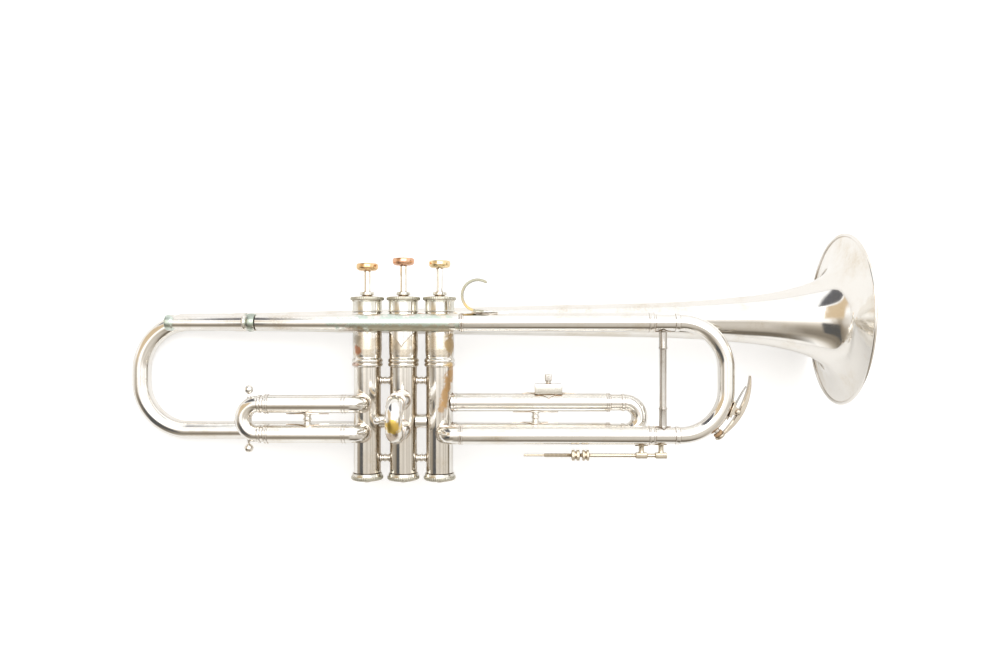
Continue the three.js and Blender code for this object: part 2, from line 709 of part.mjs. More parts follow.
function saddleGeometry() {
  const base = block(4.2, 11, 8.4, crookOuter - 0.4, 0, 0);
  const ear = (side) => joined(
    block(4.8, 4.4, 1.2, crookOuter + 2.2, 0, side * 3.6),
    alongZ(rod(2.2, side * 3.6 - 0.6, side * 3.6 + 0.6, 12)).translate(pivotReach, 0, 0));
  const hole = alongZ(rod(1.2, -6, 6, 12)).translate(pivotReach, 0, 0);
  const placed = atCorner(cut(joined(base, ear(1), ear(-1)), hole), pivotAngle);
  return cut(placed, sweep(crookRoute(legTip), slideLegRadius + gap));
}

function pivotPinGeometry() {
  const pin = alongZ(turned([
    [0, -5.2], [0.9, -5.2], [0.9, 4.5], [1.8, 4.5], [1.8, 5.3], [1.3, 5.7], [0, 5.7],
  ], 12));
  return atCorner(pin.translate(pivotReach, 0, 0), pivotAngle);
}

function corkGeometry() {
  return atCorner(alongX(rod(3.3, crookOuter + 1.5, 41.3)), seatAngle);
}

// a bent wire from the saddle to the underside of the thumb end
function keySpringGeometry() {
  const onArc = (reach, degrees) => {
    const angle = THREE.MathUtils.degToRad(degrees);
    return v(reach * Math.cos(angle), reach * Math.sin(angle), 0);
  };
  const bend = new THREE.QuadraticBezierCurve3(onArc(40.7, -15.5), onArc(41.6, -6), onArc(46, 2));
  const wire = new THREE.Shape().absarc(0, 0, 0.45, 0, 2 * Math.PI);
  return new THREE.ExtrudeGeometry(wire, { extrudePath: bend, steps: 6, curveSegments: 3 })
    .translate(crookCornerX, crookCornerRadius - tuningHalf, 0);
}

function tuningSlide() {
  return groupAt(0, tuningMiddle, legDepth,
    mesh('tuning_crook', crookGeometry(), silver()),
    mesh('tuning_brace', tuningBraceGeometry(), silver()),
    mesh('stop_post', stopPostGeometry(), silver()),
    mesh('stop_rod', stopRodGeometry(), silver()),
    mesh('stop_nut', stopNutGeometry(126.4, 131.2), silver()),
    mesh('stop_lock_nut', stopNutGeometry(119, 124.7), silver()),
    mesh('water_key_lever', leverGeometry(), silver()),
    mesh('water_key_saddle', saddleGeometry(), silver()),
    mesh('water_key_pin', pivotPinGeometry(), steel()),
    mesh('water_key_cork', corkGeometry(), cork()),
    mesh('water_key_spring', keySpringGeometry(), steel()));
}

// ---------------------------------------------------------------- bell

// leans the mouth of a bell that runs along X, its upper edge forwards
function leaning(geometry, length) {
  const position = geometry.attributes.position;
  for (let i = 0; i < position.count; i += 1) {
    const nearness = Math.max(0, 1 - (length - position.getX(i)) / leaningLength);
    position.setX(i, position.getX(i) + mouthLean * nearness * position.getY(i));
  }
  return geometry;
}

function bellGeometry() {
  const length = bellRimX - bellTailX;
  const outside = bellOutline.map(([back, radius]) => [radius, length - back]);
  const inside = bellOutline.slice(1)
    .map(([back, radius]) => [radius - bellWall, length - back + bellWall * 0.6]);
  inside[inside.length - 1][1] = 0;
  const rim = [[-2.4, 0.3], [-0.9, 1], [-0.1, 0.6], [0, -0.7]]
    .map(([inwards, onwards]) => [bellRimRadius + inwards, length + onwards]);
  const outline = [...inside.reverse(), ...rim, ...outside, inside[0]];
  return leaning(alongX(turned(outline, 28)), length);
}

function bellBowGeometry() {
  const r = bowCornerRadius;
  const x = bowCornerX;
  const elbowX = -valvePitch - 10;
  const entryX = elbowX + elbowRadius;
  const elbowDepth = bellDepth + elbowRadius;
  const route = new TubeRoute()
    .straight(v(entryX, bowLegHeight, -5), v(entryX, bowLegHeight, elbowDepth))
    .bend(v(elbowX, bowLegHeight, elbowDepth), v(elbowRadius, 0, 0), v(0, 0, -elbowRadius), Math.PI / 2)
    .straight(v(elbowX, bowLegHeight, bellDepth), v(x, bowLegHeight, bellDepth))
    .bend(v(x, bowLegHeight + r, bellDepth), v(0, -r, 0), v(-r, 0, 0), Math.PI / 2)
    .straight(v(x - r, bowLegHeight + r, bellDepth), v(x - r, bellHeight - r, bellDepth))
    .bend(v(x, bellHeight - r, bellDepth), v(-r, 0, 0), v(0, r, 0), Math.PI / 2)
    .straight(v(x, bellHeight, bellDepth), v(bellTailX - gap, bellHeight, bellDepth));
  return cut(sweep(route, bowTubeRadius, bowBore), casingSpace(-valvePitch));
}

// a rod between the leadpipe and the bell, with a leaf flange on each
function bellBraceGeometry() {
  const pipeRadius = 6.05;
  const tailRadius = 8.6;
  const post = alongZ(rod(1.7, bellDepth + 7, legDepth - 5, 12)).translate(0, bellHeight, 0);
  const pipe = alongX(rod(pipeRadius + gap, -12, 12)).translate(0, leadpipeHeight, legDepth);
  const tail = alongX(rod(tailRadius + gap, -12, 12)).translate(0, bellHeight, bellDepth);
  const pipeFlange = leafFlange(pipeRadius, 16, 8).rotateX(-Math.PI / 2)
    .translate(0, leadpipeHeight, legDepth);
  const tailFlange = leafFlange(tailRadius, 16, 12).rotateX(Math.PI / 2)
    .translate(0, bellHeight, bellDepth);
  return joined(cut(post, pipe, tail), pipeFlange, tailFlange).translate(-45, 0, 0);
}

// ---------------------------------------------------------------- the whole cornet

const bell = mesh('bell', bellGeometry(), silver());
bell.position.set(bellTailX, bellHeight, bellDepth);
bell.rotation.z = bellRise;

const upright = groupAt(0, 0, 0,
  ...valves(),
  ...casingLinks(),
  firstSlide(),
  secondSlide(),
  thirdSlide(),
  groupAt(0, leadpipeHeight, legDepth,
    mesh('mouthpiece_receiver', receiverGeometry(), silver()),
    mesh('leadpipe', leadpipeGeometry(), silver())),
  mesh('leadpipe_brace', leadpipeBraceGeometry(), silver()),
  mesh('upper_tuning_sleeve', upperTuningSleeve(), silver()),
  mesh('lower_tuning_sleeve', lowerTuningSleeve(), silver()),
  mesh('pinky_hook', pinkyHookGeometry(), silver()),
  tuningSlide(),
  bell,
  mesh('bell_bow', bellBowGeometry(), silver()),
  mesh('bell_brace', bellBraceGeometry(), silver()));

// lying on the rim's lowest point and the back of the bell bow
const bowBackX = bowCornerX - bowCornerRadius;
const reach = bellRimX - bowBackX;
const rimFromBow = Math.atan2(bellRimRadius, reach);
const bowUnderside = Math.asin(bowTubeRadius / Math.hypot(bellRimRadius, reach));
upright.rotation.y = bowUnderside - rimFromBow;

const cornet = new THREE.Group();
cornet.name = 'cornet';
cornet.add(upright);
cornet.updateMatrixWorld(true);
const bounds = new THREE.Box3().setFromObject(cornet, true);
const middle = bounds.getCenter(new THREE.Vector3());
upright.position.set(-middle.x, -middle.y, -bounds.min.z);

export default cornet;
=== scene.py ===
"""A silver-plated cornet lying on its left side on a white studio floor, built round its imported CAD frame.

Shapes are drawn in the cornet's own axes, in millimetres: x towards the bell, y towards the finger buttons
and z towards the player's right, from a point on the middle valve's axis. `to_frame` turns them into the
CAD's frame, in metres.
"""

import json
import math

import bmesh
import bpy
from mathutils import Matrix, Vector


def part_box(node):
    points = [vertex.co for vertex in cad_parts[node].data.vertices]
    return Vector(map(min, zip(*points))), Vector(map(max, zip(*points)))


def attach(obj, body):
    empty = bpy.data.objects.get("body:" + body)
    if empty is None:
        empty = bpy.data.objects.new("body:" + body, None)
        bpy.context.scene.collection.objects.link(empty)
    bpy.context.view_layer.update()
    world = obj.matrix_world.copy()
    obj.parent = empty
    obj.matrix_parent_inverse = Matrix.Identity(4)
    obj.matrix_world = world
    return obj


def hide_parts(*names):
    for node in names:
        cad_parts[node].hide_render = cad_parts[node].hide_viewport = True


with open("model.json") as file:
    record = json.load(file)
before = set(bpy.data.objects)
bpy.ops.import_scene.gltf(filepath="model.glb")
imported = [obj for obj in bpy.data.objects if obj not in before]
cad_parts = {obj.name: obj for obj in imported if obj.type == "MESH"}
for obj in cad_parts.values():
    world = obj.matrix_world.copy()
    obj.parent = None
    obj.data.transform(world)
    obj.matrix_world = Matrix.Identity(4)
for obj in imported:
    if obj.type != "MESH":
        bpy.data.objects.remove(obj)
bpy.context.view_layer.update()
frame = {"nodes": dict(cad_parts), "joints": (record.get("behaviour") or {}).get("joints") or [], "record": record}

MM = 0.001
X, Y, Z = Vector((1, 0, 0)), Vector((0, 1, 0)), Vector((0, 0, 1))

# ---- driving dimensions, as in the CAD
# Heights are along y, depths along z, and tips, bends and ends along x.

VALVE_PITCH = 26
CASING_RADIUS = 9.65
BARREL_RADIUS = 10.35
LEG_DEPTH = 18
BELL_DEPTH = -21
LEADPIPE_HEIGHT = 6.9
TUNING_LOWER_HEIGHT = -71.2
UPPER_PORT_HEIGHT = -49.9
LOWER_PORT_HEIGHT = -70.8
TRANSFER_HEIGHT = -63.4
BOW_LEG_HEIGHT = -72.4
BELL_HEIGHT = 7.8
BUTTON_HEIGHTS = (44.1, 47.9, 46.0)

SLIDE_MIDDLE = (UPPER_PORT_HEIGHT + LOWER_PORT_HEIGHT) / 2
SLIDE_BEND = (UPPER_PORT_HEIGHT - LOWER_PORT_HEIGHT) / 2
PORTS = (("upper", UPPER_PORT_HEIGHT), ("lower", LOWER_PORT_HEIGHT))
SECOND_MIDDLE = -57.9
LEG_RADIUS = 5.85
LEG_BORE = 5.35
SLEEVE_RADIUS = 6.5
SLEEVE_BORE = 6.1
RING_BORE = SLEEVE_BORE + 0.2
ELBOW_RADIUS = 7

FIRST_DEPTH = 16.5
FIRST_TIP = -95
FIRST_BEND = -99.7
SECOND_TIP = 36
SECOND_BEND = 39.2
THIRD_TIP = 147.6
THIRD_BEND = 158.1
LYRE_X = 103.7
LYRE_TOP = -36.5

TUNING_MIDDLE = (LEADPIPE_HEIGHT + TUNING_LOWER_HEIGHT) / 2
TUNING_HALF = (LEADPIPE_HEIGHT - TUNING_LOWER_HEIGHT) / 2
SLEEVE_END = 176.4
LEG_TIP = 110
CORNER_X = 193.65
CORNER_RADIUS = 32
STOP_ROD_HEIGHT = -85

BOW_RADIUS = 6.65
BOW_BORE = 6.1
BOW_CORNER_X = -162.4
BOW_CORNER_RADIUS = 36
BELL_TAIL_X = -119.4
BELL_RIM_X = 318.5
BELL_RIM_RADIUS = 62.8
BELL_WALL = 0.8
BELL_RISE = math.radians(0.25)
MOUTH_LEAN = math.tan(math.radians(1.3))
LEANING_LENGTH = 90

# ---- the cornet's axes in the CAD's frame


def cornet_axes():
    """The tilt is that of the tuning slide's joint, and the middle button fixes the place."""
    pull = next(joint for joint in frame["joints"] if joint["name"] == "tuning_slide_pull")
    lengthwise = Vector(pull["axis"]).normalized()
    upright = lengthwise.cross(Y)
    low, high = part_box("finger_button_2")
    origin = Vector(((low.x + high.x) / 2, low.y - BUTTON_HEIGHTS[1] * MM, (low.z + high.z) / 2))
    axes = Matrix((lengthwise, Y, upright)).transposed().to_4x4()
    return Matrix.Translation(origin) @ axes @ Matrix.Scale(MM, 4)


to_frame = cornet_axes()

# ---- shapes

CORNER_STEPS = 4


class Shape:
    """Points and faces that become one piece."""

    def __init__(self):
        self.points = []
        self.faces = []

    def skin(self, rings, ends="fill"):
        """Joins rings of equally many points. The ends are filled, left open, or joined to each other."""
        start, count = len(self.points), len(rings[0])
        self.points += [point for ring in rings for point in ring]
        for a in range(len(rings) if ends == "join" else len(rings) - 1):
            here, there = start + a * count, start + (a + 1) % len(rings) * count
            for i in range(count):
                j = (i + 1) % count
                self.faces.append((here + i, here + j, there + j, there + i))
        if ends == "fill":
            last = start + (len(rings) - 1) * count
            self.faces.append(tuple(range(start + count - 1, start - 1, -1)))
            self.faces.append(tuple(range(last, last + count)))
        return self

    def add(self, other):
        start = len(self.points)
        self.points += other.points
        self.faces += [tuple(start + i for i in face) for face in other.faces]

    def moved(self, matrix):
        copy = Shape()
        copy.points = [matrix @ point for point in self.points]
        copy.faces = list(self.faces)
        return copy


def together(*shapes):
    whole = Shape()
    for shape in shapes:
        whole.add(shape)
    return whole


def swung(first, second, angle):
    """What `first` becomes when it turns towards `second`."""
    return first * math.cos(angle) + second * math.sin(angle)


def spoke(angle):
    return Vector((math.cos(angle), math.sin(angle)))


def arch(start, corner, end, steps):
    """Points along a curve that leaves `start` towards a corner and comes to `end` from it."""
    along = [i / steps for i in range(steps + 1)]
    return [start * (1 - t) ** 2 + corner * 2 * t * (1 - t) + end * t * t for t in along]


def softened(outline, radius):
    """Rounds the corners of an open outline, leaving its two ends."""
    points = [Vector(point) for point in outline]
    out = [points[0]]
    for before, corner, after in zip(points, points[1:], points[2:]):
        back, on = before - corner, after - corner
        cut = min(radius, 0.45 * back.length, 0.45 * on.length)
        start, end = corner + back.normalized() * cut, corner + on.normalized() * cut
        out += arch(start, corner, end, CORNER_STEPS)
    return out + [points[-1]]


def turned(outline, origin=(0, 0, 0), axis=Y, sides=64, soft=0.25, flutes=0, flute_depth=0.0, closed=False):
    """Turns (radius, distance) points about an axis. Flutes wave the widest 0.3 mm in and out."""
    origin = Vector(origin)
    side = axis.orthogonal().normalized()
    across = axis.cross(side)
    points = softened(outline, soft) if soft else [Vector(point) for point in outline]
    fluted = max(point.x for point in points) - 0.3
    sides = flutes * 6 if flutes else sides
    rings = []
    for radius, along in points:
        ring = []
        for i in range(sides):
            angle = 2 * math.pi * i / sides
            wave = 0.5 - 0.5 * math.cos(flutes * angle) if radius > fluted else 0
            reach = max(radius, 1e-4) - flute_depth * wave
            ring.append(origin + axis * along + swung(side, across, angle) * reach)
        rings.append(ring)
    return Shape().skin(rings, "join" if closed else "fill")


def rod(radius, start, end, origin=(0, 0, 0), axis=Y, sides=32, soft=0.2):
    return turned([(0, start), (radius, start), (radius, end), (0, end)], origin, axis, sides, soft)


def bend(centre, start, towards, radius, angle, steps=24):
    """Points round an arc that begins at `start` from its centre and heads off `towards`."""
    turns = [angle * i / steps for i in range(steps + 1)]
    return [Vector(centre) + swung(start, towards, a) * radius for a in turns]


def stations(points):
    """Adds points along the long straight stretches of a route."""
    spacing = 4
    out = [Vector(points[0])]
    for before, after in zip(points, points[1:]):
        step = Vector(after) - Vector(before)
        pieces = max(1, round(step.length / spacing))
        out += [Vector(before) + step * (i + 1) / pieces for i in range(pieces) if step.length > 1e-6]
    return out


def tube(route, outer, inner=0, sides=40):
    """A hollow or solid tube along a route, carried round bends without twisting."""
    points = stations(route)
    tangents = []
    for i in range(len(points)):
        ahead, behind = points[min(i + 1, len(points) - 1)], points[max(i - 1, 0)]
        tangents.append((ahead - behind).normalized())
    side = tangents[0].orthogonal().normalized()
    turns = [2 * math.pi * i / sides for i in range(sides)]
    outside, inside = [], []
    for point, tangent in zip(points, tangents):
        side = (side - tangent * side.dot(tangent)).normalized()
        arms = [swung(side, tangent.cross(side), a) for a in turns]
        outside.append([point + arm * outer for arm in arms])
        inside.append([point + arm * inner for arm in arms])
    if inner:
        return Shape().skin(outside + inside[::-1], "join")
    return Shape().skin(outside)


def loop_offset(outline, distance):
    """A closed outline with every point moved inwards."""
    out = []
    for i, point in enumerate(outline):
        run = outline[(i + 1) % len(outline)] - outline[i - 1]
        inward = Vector((-run.y, run.x)).normalized()
        out.append(point + inward * distance)
    return out


def plate(outline, low, high, bevel, matrix=Matrix.Identity(4)):
    """A flat plate with bevelled edges, from an outline in its own x and y."""
    points = [Vector(point) for point in outline]
    area = sum(a.x * b.y - a.y * b.x for a, b in zip(points, points[1:] + points[:1]))
    if area < 0:
        points.reverse()
    rings = []
    for height, inset in ((low, bevel), (low + bevel, 0), (high - bevel, 0), (high, bevel)):
        rings.append([matrix @ Vector((p.x, p.y, height)) for p in loop_offset(points, inset)])
    return Shape().skin(rings)


def rectangle(width, height, radius):
    corners = [(1, 1), (-1, 1), (-1, -1), (1, -1)]
    out = []
    for quarter, (sx, sy) in enumerate(corners):
        centre = Vector((sx * (width / 2 - radius), sy * (height / 2 - radius)))
        for i in range(CORNER_STEPS + 1):
            out.append(centre + spoke(math.pi / 2 * (quarter + i / CORNER_STEPS)) * radius)
    return out


def block(centre, size, bevel, matrix):
    x, y, z = size
    placed = matrix @ Matrix.Translation(centre)
    return plate(rectangle(x, y, bevel), -z / 2, z / 2, bevel * 0.7, placed)


def bar(centre, outline, half, bevel, hole=()):
    """A bar along x with bevelled ends and maybe a hole. The outlines are of (z, y) about its centre."""

    def ring(loop, along):
        return [Vector(centre) + Vector((along, p.y, p.x)) for p in loop]

    end = loop_offset(outline, bevel)
    rings = [ring(end, -half), ring(outline, bevel - half), ring(outline, half - bevel), ring(end, half)]
    if not hole:
        return Shape().skin(rings)
    return Shape().skin(rings + [ring(hole, half), ring(hole, -half)], "join")


def leaf_outline(length, width):
    """Half of a pointed flange: (along, half width) from one tip to the other."""
    tip, corner, middle = (-length / 2, 0), (-length / 5, 0.12 * width), (0, width / 2)
    half = arch(Vector(tip), Vector(corner), Vector(middle), 14)
    return half + [(-along, wide) for along, wide in half[-2::-1]]


def leaf_flange(origin, face, tube_radius, length, width, axis=X):
    """A thin pointed flange that hugs a tube and faces `face`."""
    origin, side = Vector(origin), axis.cross(face)
    thickness = 0.75
    rings = []
    for along, wide in leaf_outline(length, width):
        reach = max(wide, 0.12) / tube_radius
        spread = [i / 6 for i in range(-6, 7)]
        top = [(reach * s, tube_radius + thickness * (1 - 0.45 * s ** 6)) for s in spread]
        under = [(reach * s, tube_radius - 0.15) for s in spread[::-1]]
        ring = []
        for angle, radius in top + under:
            ring.append(origin + axis * along + swung(face, side, angle) * radius)
        rings.append(ring)
    return Shape().skin(rings)


def spool(origin, axis, length, flange, waist):
    half = length / 2
    bead = waist + 0.6
    return turned([
        (0, -half), (flange, -half), (flange, 0.9 - half), (waist, 1.7 - half), (waist, -0.9), (bead, -0.6),
        (bead, 0.6), (waist, 0.9), (waist, half - 1.7), (flange, half - 0.9), (flange, half), (0, half),
    ], origin, axis, 40, 0.35)


def knob(origin, axis, neck, ball):
    """A ball on a waisted neck."""
    outline = [(0, -1.4), (2.3, -1.4), (2.2, -0.4), (1.5, 0.3), (1.05, 1.1)]
    centre = Vector((0, neck + ball))
    outline += [centre + spoke(math.pi * (i / 13 - 0.5)) * ball for i in range(1, 13)]
    return turned(outline + [(0, neck + 2 * ball)], origin, axis, 40, 0.3)


def band(origin, axis, start, end, inner, radius, soft=0.45):
    """A raised ring round a tube."""
    return turned([(inner, start), (radius, start), (radius, end), (inner, end)], origin, axis, 64, soft)


def ferrule(origin, axis, start, end, tube_radius, radius):
    """A sleeve's end ring: two fine beads with a shallow band between them."""
    inner = tube_radius - 0.3
    low = tube_radius + 0.12
    return turned([
        (inner, start), (radius, start), (radius, start + 0.8), (low, start + 0.9), (low, end - 0.9),
        (radius, end - 0.8), (radius, end), (inner, end),
    ], origin, axis, 64, 0.3)


# ---- pieces

bodies = frame["record"]["behaviour"]["bodies"]
body_of_node = {node: body for body, nodes in bodies.items() for node in nodes}


def show(node, shape, material):
    """Makes a fine piece that stands for one CAD node and moves with it."""
    mesh = bpy.data.meshes.new("fine_" + node)
    mesh.from_pydata([to_frame @ point for point in shape.points], [], shape.faces)
    tidy = bmesh.new()
    tidy.from_mesh(mesh)
    bmesh.ops.remove_doubles(tidy, verts=tidy.verts, dist=0.002 * MM)
    bmesh.ops.recalc_face_normals(tidy, faces=tidy.faces)
    tidy.to_mesh(mesh)
    tidy.free()
    mesh.shade_smooth()
    mesh.set_sharp_from_angle(angle=math.radians(40))
    mesh.materials.append(material)
    piece = bpy.data.objects.new("fine_" + node, mesh)
    bpy.context.scene.collection.objects.link(piece)
    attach(piece, body_of_node[node])
    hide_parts(node)


# ---- shader nodes

COLOUR_A, COLOUR_B, COLOUR_RESULT = 6, 7, 2  # a Mix node's colour sockets


class Graph:
    """Makes and joins the shader nodes of one tree."""

    def __init__(self, tree):
        self.tree = tree

    def feed(self, socket, value):
        """Links another node's output to a socket, or sets the socket to a number or a colour."""
        if isinstance(value, bpy.types.NodeSocket):
            self.tree.links.new(value, socket)
        elif socket.type == "RGBA":
            socket.default_value = (*value, 1)
        else:
            socket.default_value = value

    def add(self, kind, inputs=None, **settings):
        node = self.tree.nodes.new("ShaderNode" + kind)
        for name, value in settings.items():
            setattr(node, name, value)
        for name, value in (inputs or {}).items():
            self.feed(node.inputs[name], value)
        return node

    def maths(self, operation, first, second=0):
        return self.add("Math", {0: first, 1: second}, operation=operation).outputs["Value"]

    def remap(self, value, low, high, to_low=0.0, to_high=1.0, kind="SMOOTHSTEP"):
        limits = {"From Min": low, "From Max": high, "To Min": to_low, "To Max": to_high}
        return self.add("MapRange", {"Value": value, **limits}, interpolation_type=kind).outputs["Result"]

    def mix(self, factor, first, second, blend="MIX"):
        inputs = {"Factor": factor, COLOUR_A: first, COLOUR_B: second}
        return self.add("Mix", inputs, data_type="RGBA", blend_type=blend).outputs[COLOUR_RESULT]


class Surface(Graph):
    """A material, with patterns that are sized in millimetres."""

    def __init__(self, name):
        self.material = bpy.data.materials.new(name)
        self.material.use_nodes = True
        super().__init__(self.material.node_tree)
        self.shader = self.tree.nodes["Principled BSDF"]

    def paint(self, colour, roughness, metallic):
        self.feed(self.shader.inputs["Base Color"], colour)
        self.feed(self.shader.inputs["Roughness"], roughness)
        self.feed(self.shader.inputs["Metallic"], metallic)

    def stretched(self, scale, location=(0, 0, 0)):
        """The place in millimetres, divided by a size along each axis."""
        place = self.add("TexCoord").outputs["Object"]
        inputs = {"Vector": place, "Location": location, "Scale": [1 / (MM * size) for size in scale]}
        return self.add("Mapping", inputs).outputs["Vector"]

    def noise(self, size, detail=5, roughness=0.6, seed=0.0):
        place = self.stretched(size if isinstance(size, tuple) else (size,) * 3)
        inputs = {"Vector": place, "W": seed, "Scale": 1, "Detail": detail, "Roughness": roughness}
        return self.add("TexNoise", inputs, noise_dimensions="4D").outputs["Fac"]

    def patch(self, centre, size, seed):
        """1 inside a ragged patch round a point of the cornet, falling to 0 outside it."""
        middle = to_frame @ Vector(centre)
        offset = [-m / (MM * s) for m, s in zip(middle, size)]
        place = self.stretched(size, offset)
        length = self.add("VectorMath", {0: place}, operation="LENGTH").outputs["Value"]
        ragged = self.remap(self.noise(5, seed=seed), 0.3, 0.7, -0.45, 0.45)
        return self.remap(self.maths("ADD", length, ragged), 1.25, 0.65)

    def corner_tarnish_and_shade(self, reach):
        """1 in the corners where pieces meet, falling to 0 at `reach` millimetres from them, measured by the
        occlusion there, which is where shade falls.
        """
        node = self.add("AmbientOcclusion", {"Distance": reach * MM}, samples=6)
        return self.remap(node.outputs["AO"], 0.93, 0.58)

    def bump(self, *layers):
        """Stacks bumps, each a height, its depth in millimetres and its strength."""
        normal = None
        for height, depth, strength in layers:
            node = self.add("Bump", {"Distance": depth * MM, "Strength": strength, "Height": height})
            if normal:
                self.feed(node.inputs["Normal"], normal)
            normal = node.outputs["Normal"]
        self.feed(self.shader.inputs["Normal"], normal)


# ---- materials

SILVER = (0.91, 0.89, 0.85)
DULL_SILVER = (0.72, 0.63, 0.49)
BROWN = (0.34, 0.21, 0.10)
COPPER = (0.55, 0.24, 0.13)
GOLD = (0.80, 0.55, 0.22)
AMBER = (0.86, 0.60, 0.12)
OCHRE = (0.48, 0.33, 0.15)
RUST = (0.56, 0.35, 0.16)
OLIVE = (0.42, 0.40, 0.30)
GREY = (0.36, 0.32, 0.26)
TAN = (0.52, 0.44, 0.30)
# The brown of the painted shade between casings.
GAP_SHADE_BROWN = (0.44, 0.34, 0.21)
GREEN = (0.60, 0.72, 0.64)
DARK_GREEN = (0.34, 0.42, 0.35)


def plated(name, base=SILVER, dull=DULL_SILVER, roughness=0.09, patches=()):
    """Worn plating: cloudy tarnish, pits, hairlines and a slightly uneven surface, brown in the corners that is
    partly tarnish and partly painted shade, and tinted patches, mostly stains; those by the gaps between casings
    are painted shade.

    Each patch is a centre, a half size along each axis, a tint and a strength.
    """
    n = Surface(name)
    cloud = n.remap(n.noise(22, 6, 0.62, 1.7), 0.46, 0.74)
    fine = n.noise(1.6, 4, 0.7, 4.1)
    speck = n.remap(n.noise(0.7, 2, 0.5, 9.3), 0.70, 0.78)
    veil = n.maths("MULTIPLY", cloud, n.remap(fine, 0.3, 0.7, 0.25, 0.75))
    colour = n.mix(veil, base, dull)
    colour = n.mix(n.maths("MULTIPLY", speck, n.remap(cloud, 0, 1, 0.15, 0.7)), colour, BROWN)
    # Brown in the corners where pieces meet: partly tarnish, partly painted shade.
    colour = n.mix(n.maths("MULTIPLY", n.corner_tarnish_and_shade(1.1), 0.8), colour, BROWN)
    even = n.remap(fine, 0.3, 0.7, roughness * 0.7, roughness * 1.4)
    rough = n.maths("ADD", even, n.maths("MULTIPLY", cloud, 0.12))
    for i, (centre, size, tint, strength) in enumerate(patches):
        stain_and_shade = n.maths("MULTIPLY", n.patch(centre, size, 12.3 + 3.1 * i), strength)
        colour = n.mix(stain_and_shade, colour, tint)
        rough = n.maths("ADD", rough, n.maths("MULTIPLY", stain_and_shade, 0.22))
    n.paint(colour, rough, 1)
    n.bump((n.noise(16, 2, 0.5, 2.2), 0.25, 0.3), (n.noise(3.2, 3, 0.6, 5.5), 0.02, 0.35),
           (speck, 0.02, 0.4))
    return n.material


def brushed(name, base, roughness):
    """Bare working metal with fine lines round it."""
    n = Surface(name)
    lines = n.noise((6, 0.15, 6), 3, 0.6, 3.3)
    colour = n.mix(n.remap(lines, 0.35, 0.65), base, tuple(c * 0.7 for c in base))
    n.paint(colour, n.remap(lines, 0.3, 0.7, roughness * 0.8, roughness * 1.3), 1)
    n.bump((lines, 0.02, 0.5))
    return n.material


def cork_material():
    n = Surface("cork")
    grain = n.noise(0.8, 5, 0.7, 6.1)
    colour = n.mix(n.remap(grain, 0.4, 0.62), (0.32, 0.19, 0.10), (0.55, 0.38, 0.22))
    n.paint(colour, n.remap(grain, 0.3, 0.7, 0.75, 0.95), 0)
    n.bump((grain, 0.15, 0.8))
    return n.material


def painted_gap_shade(casing_x, sides):
    """Painted shade: a brown stripe down each side of a casing that faces a neighbour, standing for the dark
    narrow gap between two casings that the casing mirrors.
    """
    return [((casing_x + side * 9.6, -48, 0), (2.6, 66, 9.5), GAP_SHADE_BROWN, 0.8) for side in sides]


def dull_barrel(casing_x):
    return [((casing_x, -9, 10), (12, 9, 7), DULL_SILVER, 0.75)]


silver = plated("silver_plate")
golds = [
    plated("button_gold_1", (0.92, 0.66, 0.36), (0.70, 0.36, 0.16), 0.12),
    plated("button_gold_2", (0.86, 0.52, 0.34), (0.58, 0.24, 0.13), 0.13),
    plated("button_gold_3", (0.94, 0.76, 0.46), (0.76, 0.46, 0.20), 0.11),
]
monel = brushed("piston_metal", (0.62, 0.60, 0.56), 0.28)
spring_steel = brushed("spring_wire", (0.50, 0.49, 0.47), 0.32)
cork = cork_material()
box_silver = plated("box_silver", (0.77, 0.74, 0.67), (0.52, 0.47, 0.36), 0.2)
hook_silver = plated("hook_silver", (0.27, 0.26, 0.20), (0.62, 0.48, 0.28), 0.24, [
    ((67, 13.4, 18), (15, 1.9, 9), SILVER, 0.95),
    ((48, 17.5, 18), (5, 6, 8), GOLD, 0.75),
])
cap_silver = plated("cap_silver", (0.82, 0.80, 0.73), (0.45, 0.45, 0.36), 0.13, [
    ((0, 24.2, 0), (60, 1.3, 40), OLIVE, 0.7),
    ((0, -103.6, 0), (60, 1.3, 40), OLIVE, 0.6),
])
# Each casing's stripes along the sides that face a neighbour are painted shade, not stains.
casing_silver = [
    plated("casing_silver_1", patches=dull_barrel(-VALVE_PITCH) + [
        ((-31.6, -12.7, 8), (2.6, 3.6, 5), COPPER, 0.9),
        ((-31.8, -5, 8), (2.2, 5.5, 5), GREY, 0.6),
        ((-33, -22.8, 8), (4, 1.6, 8), COPPER, 0.5),
    ] + painted_gap_shade(-VALVE_PITCH, [1])),
    plated("casing_silver_2", patches=dull_barrel(0) + [
        ((-3, -11, 9), (2.4, 5, 6), GREY, 0.35),
    ] + painted_gap_shade(0, [-1, 1])),
    plated("casing_silver_3", patches=dull_barrel(VALVE_PITCH) + [
        ((33.6, -8, 6), (3, 9, 8), OCHRE, 0.85),
        ((34.4, -29, 6), (3, 6.5, 8), RUST, 0.95),
        ((32.4, -37, 7), (3.1, 7, 7), RUST, 0.95),
        ((30.2, -45.5, 8), (3.1, 7, 6), RUST, 0.95),
        ((28.2, -53, 9), (2.7, 6, 6), RUST, 0.85),
        ((33, -22.8, 7), (5, 1.6, 9), GOLD, 0.8),
    ] + painted_gap_shade(VALVE_PITCH, [-1])),
]
pipe_silver = plated("leadpipe_silver", patches=[
    ((1, 5.5, 23), (46, 7, 14), GREEN, 0.8),
    ((3, 2.6, 23), (38, 2.6, 8), TAN, 0.7),
    ((-30, 1.5, 20), (9, 3, 12), BROWN, 0.6),
])
receiver_silver = plated("receiver_silver", patches=[
    ((-104, 7, 20), (4.5, 9, 12), DARK_GREEN, 0.8),
    ((-162, 7, 20), (4, 9, 12), GREEN, 0.8),
])
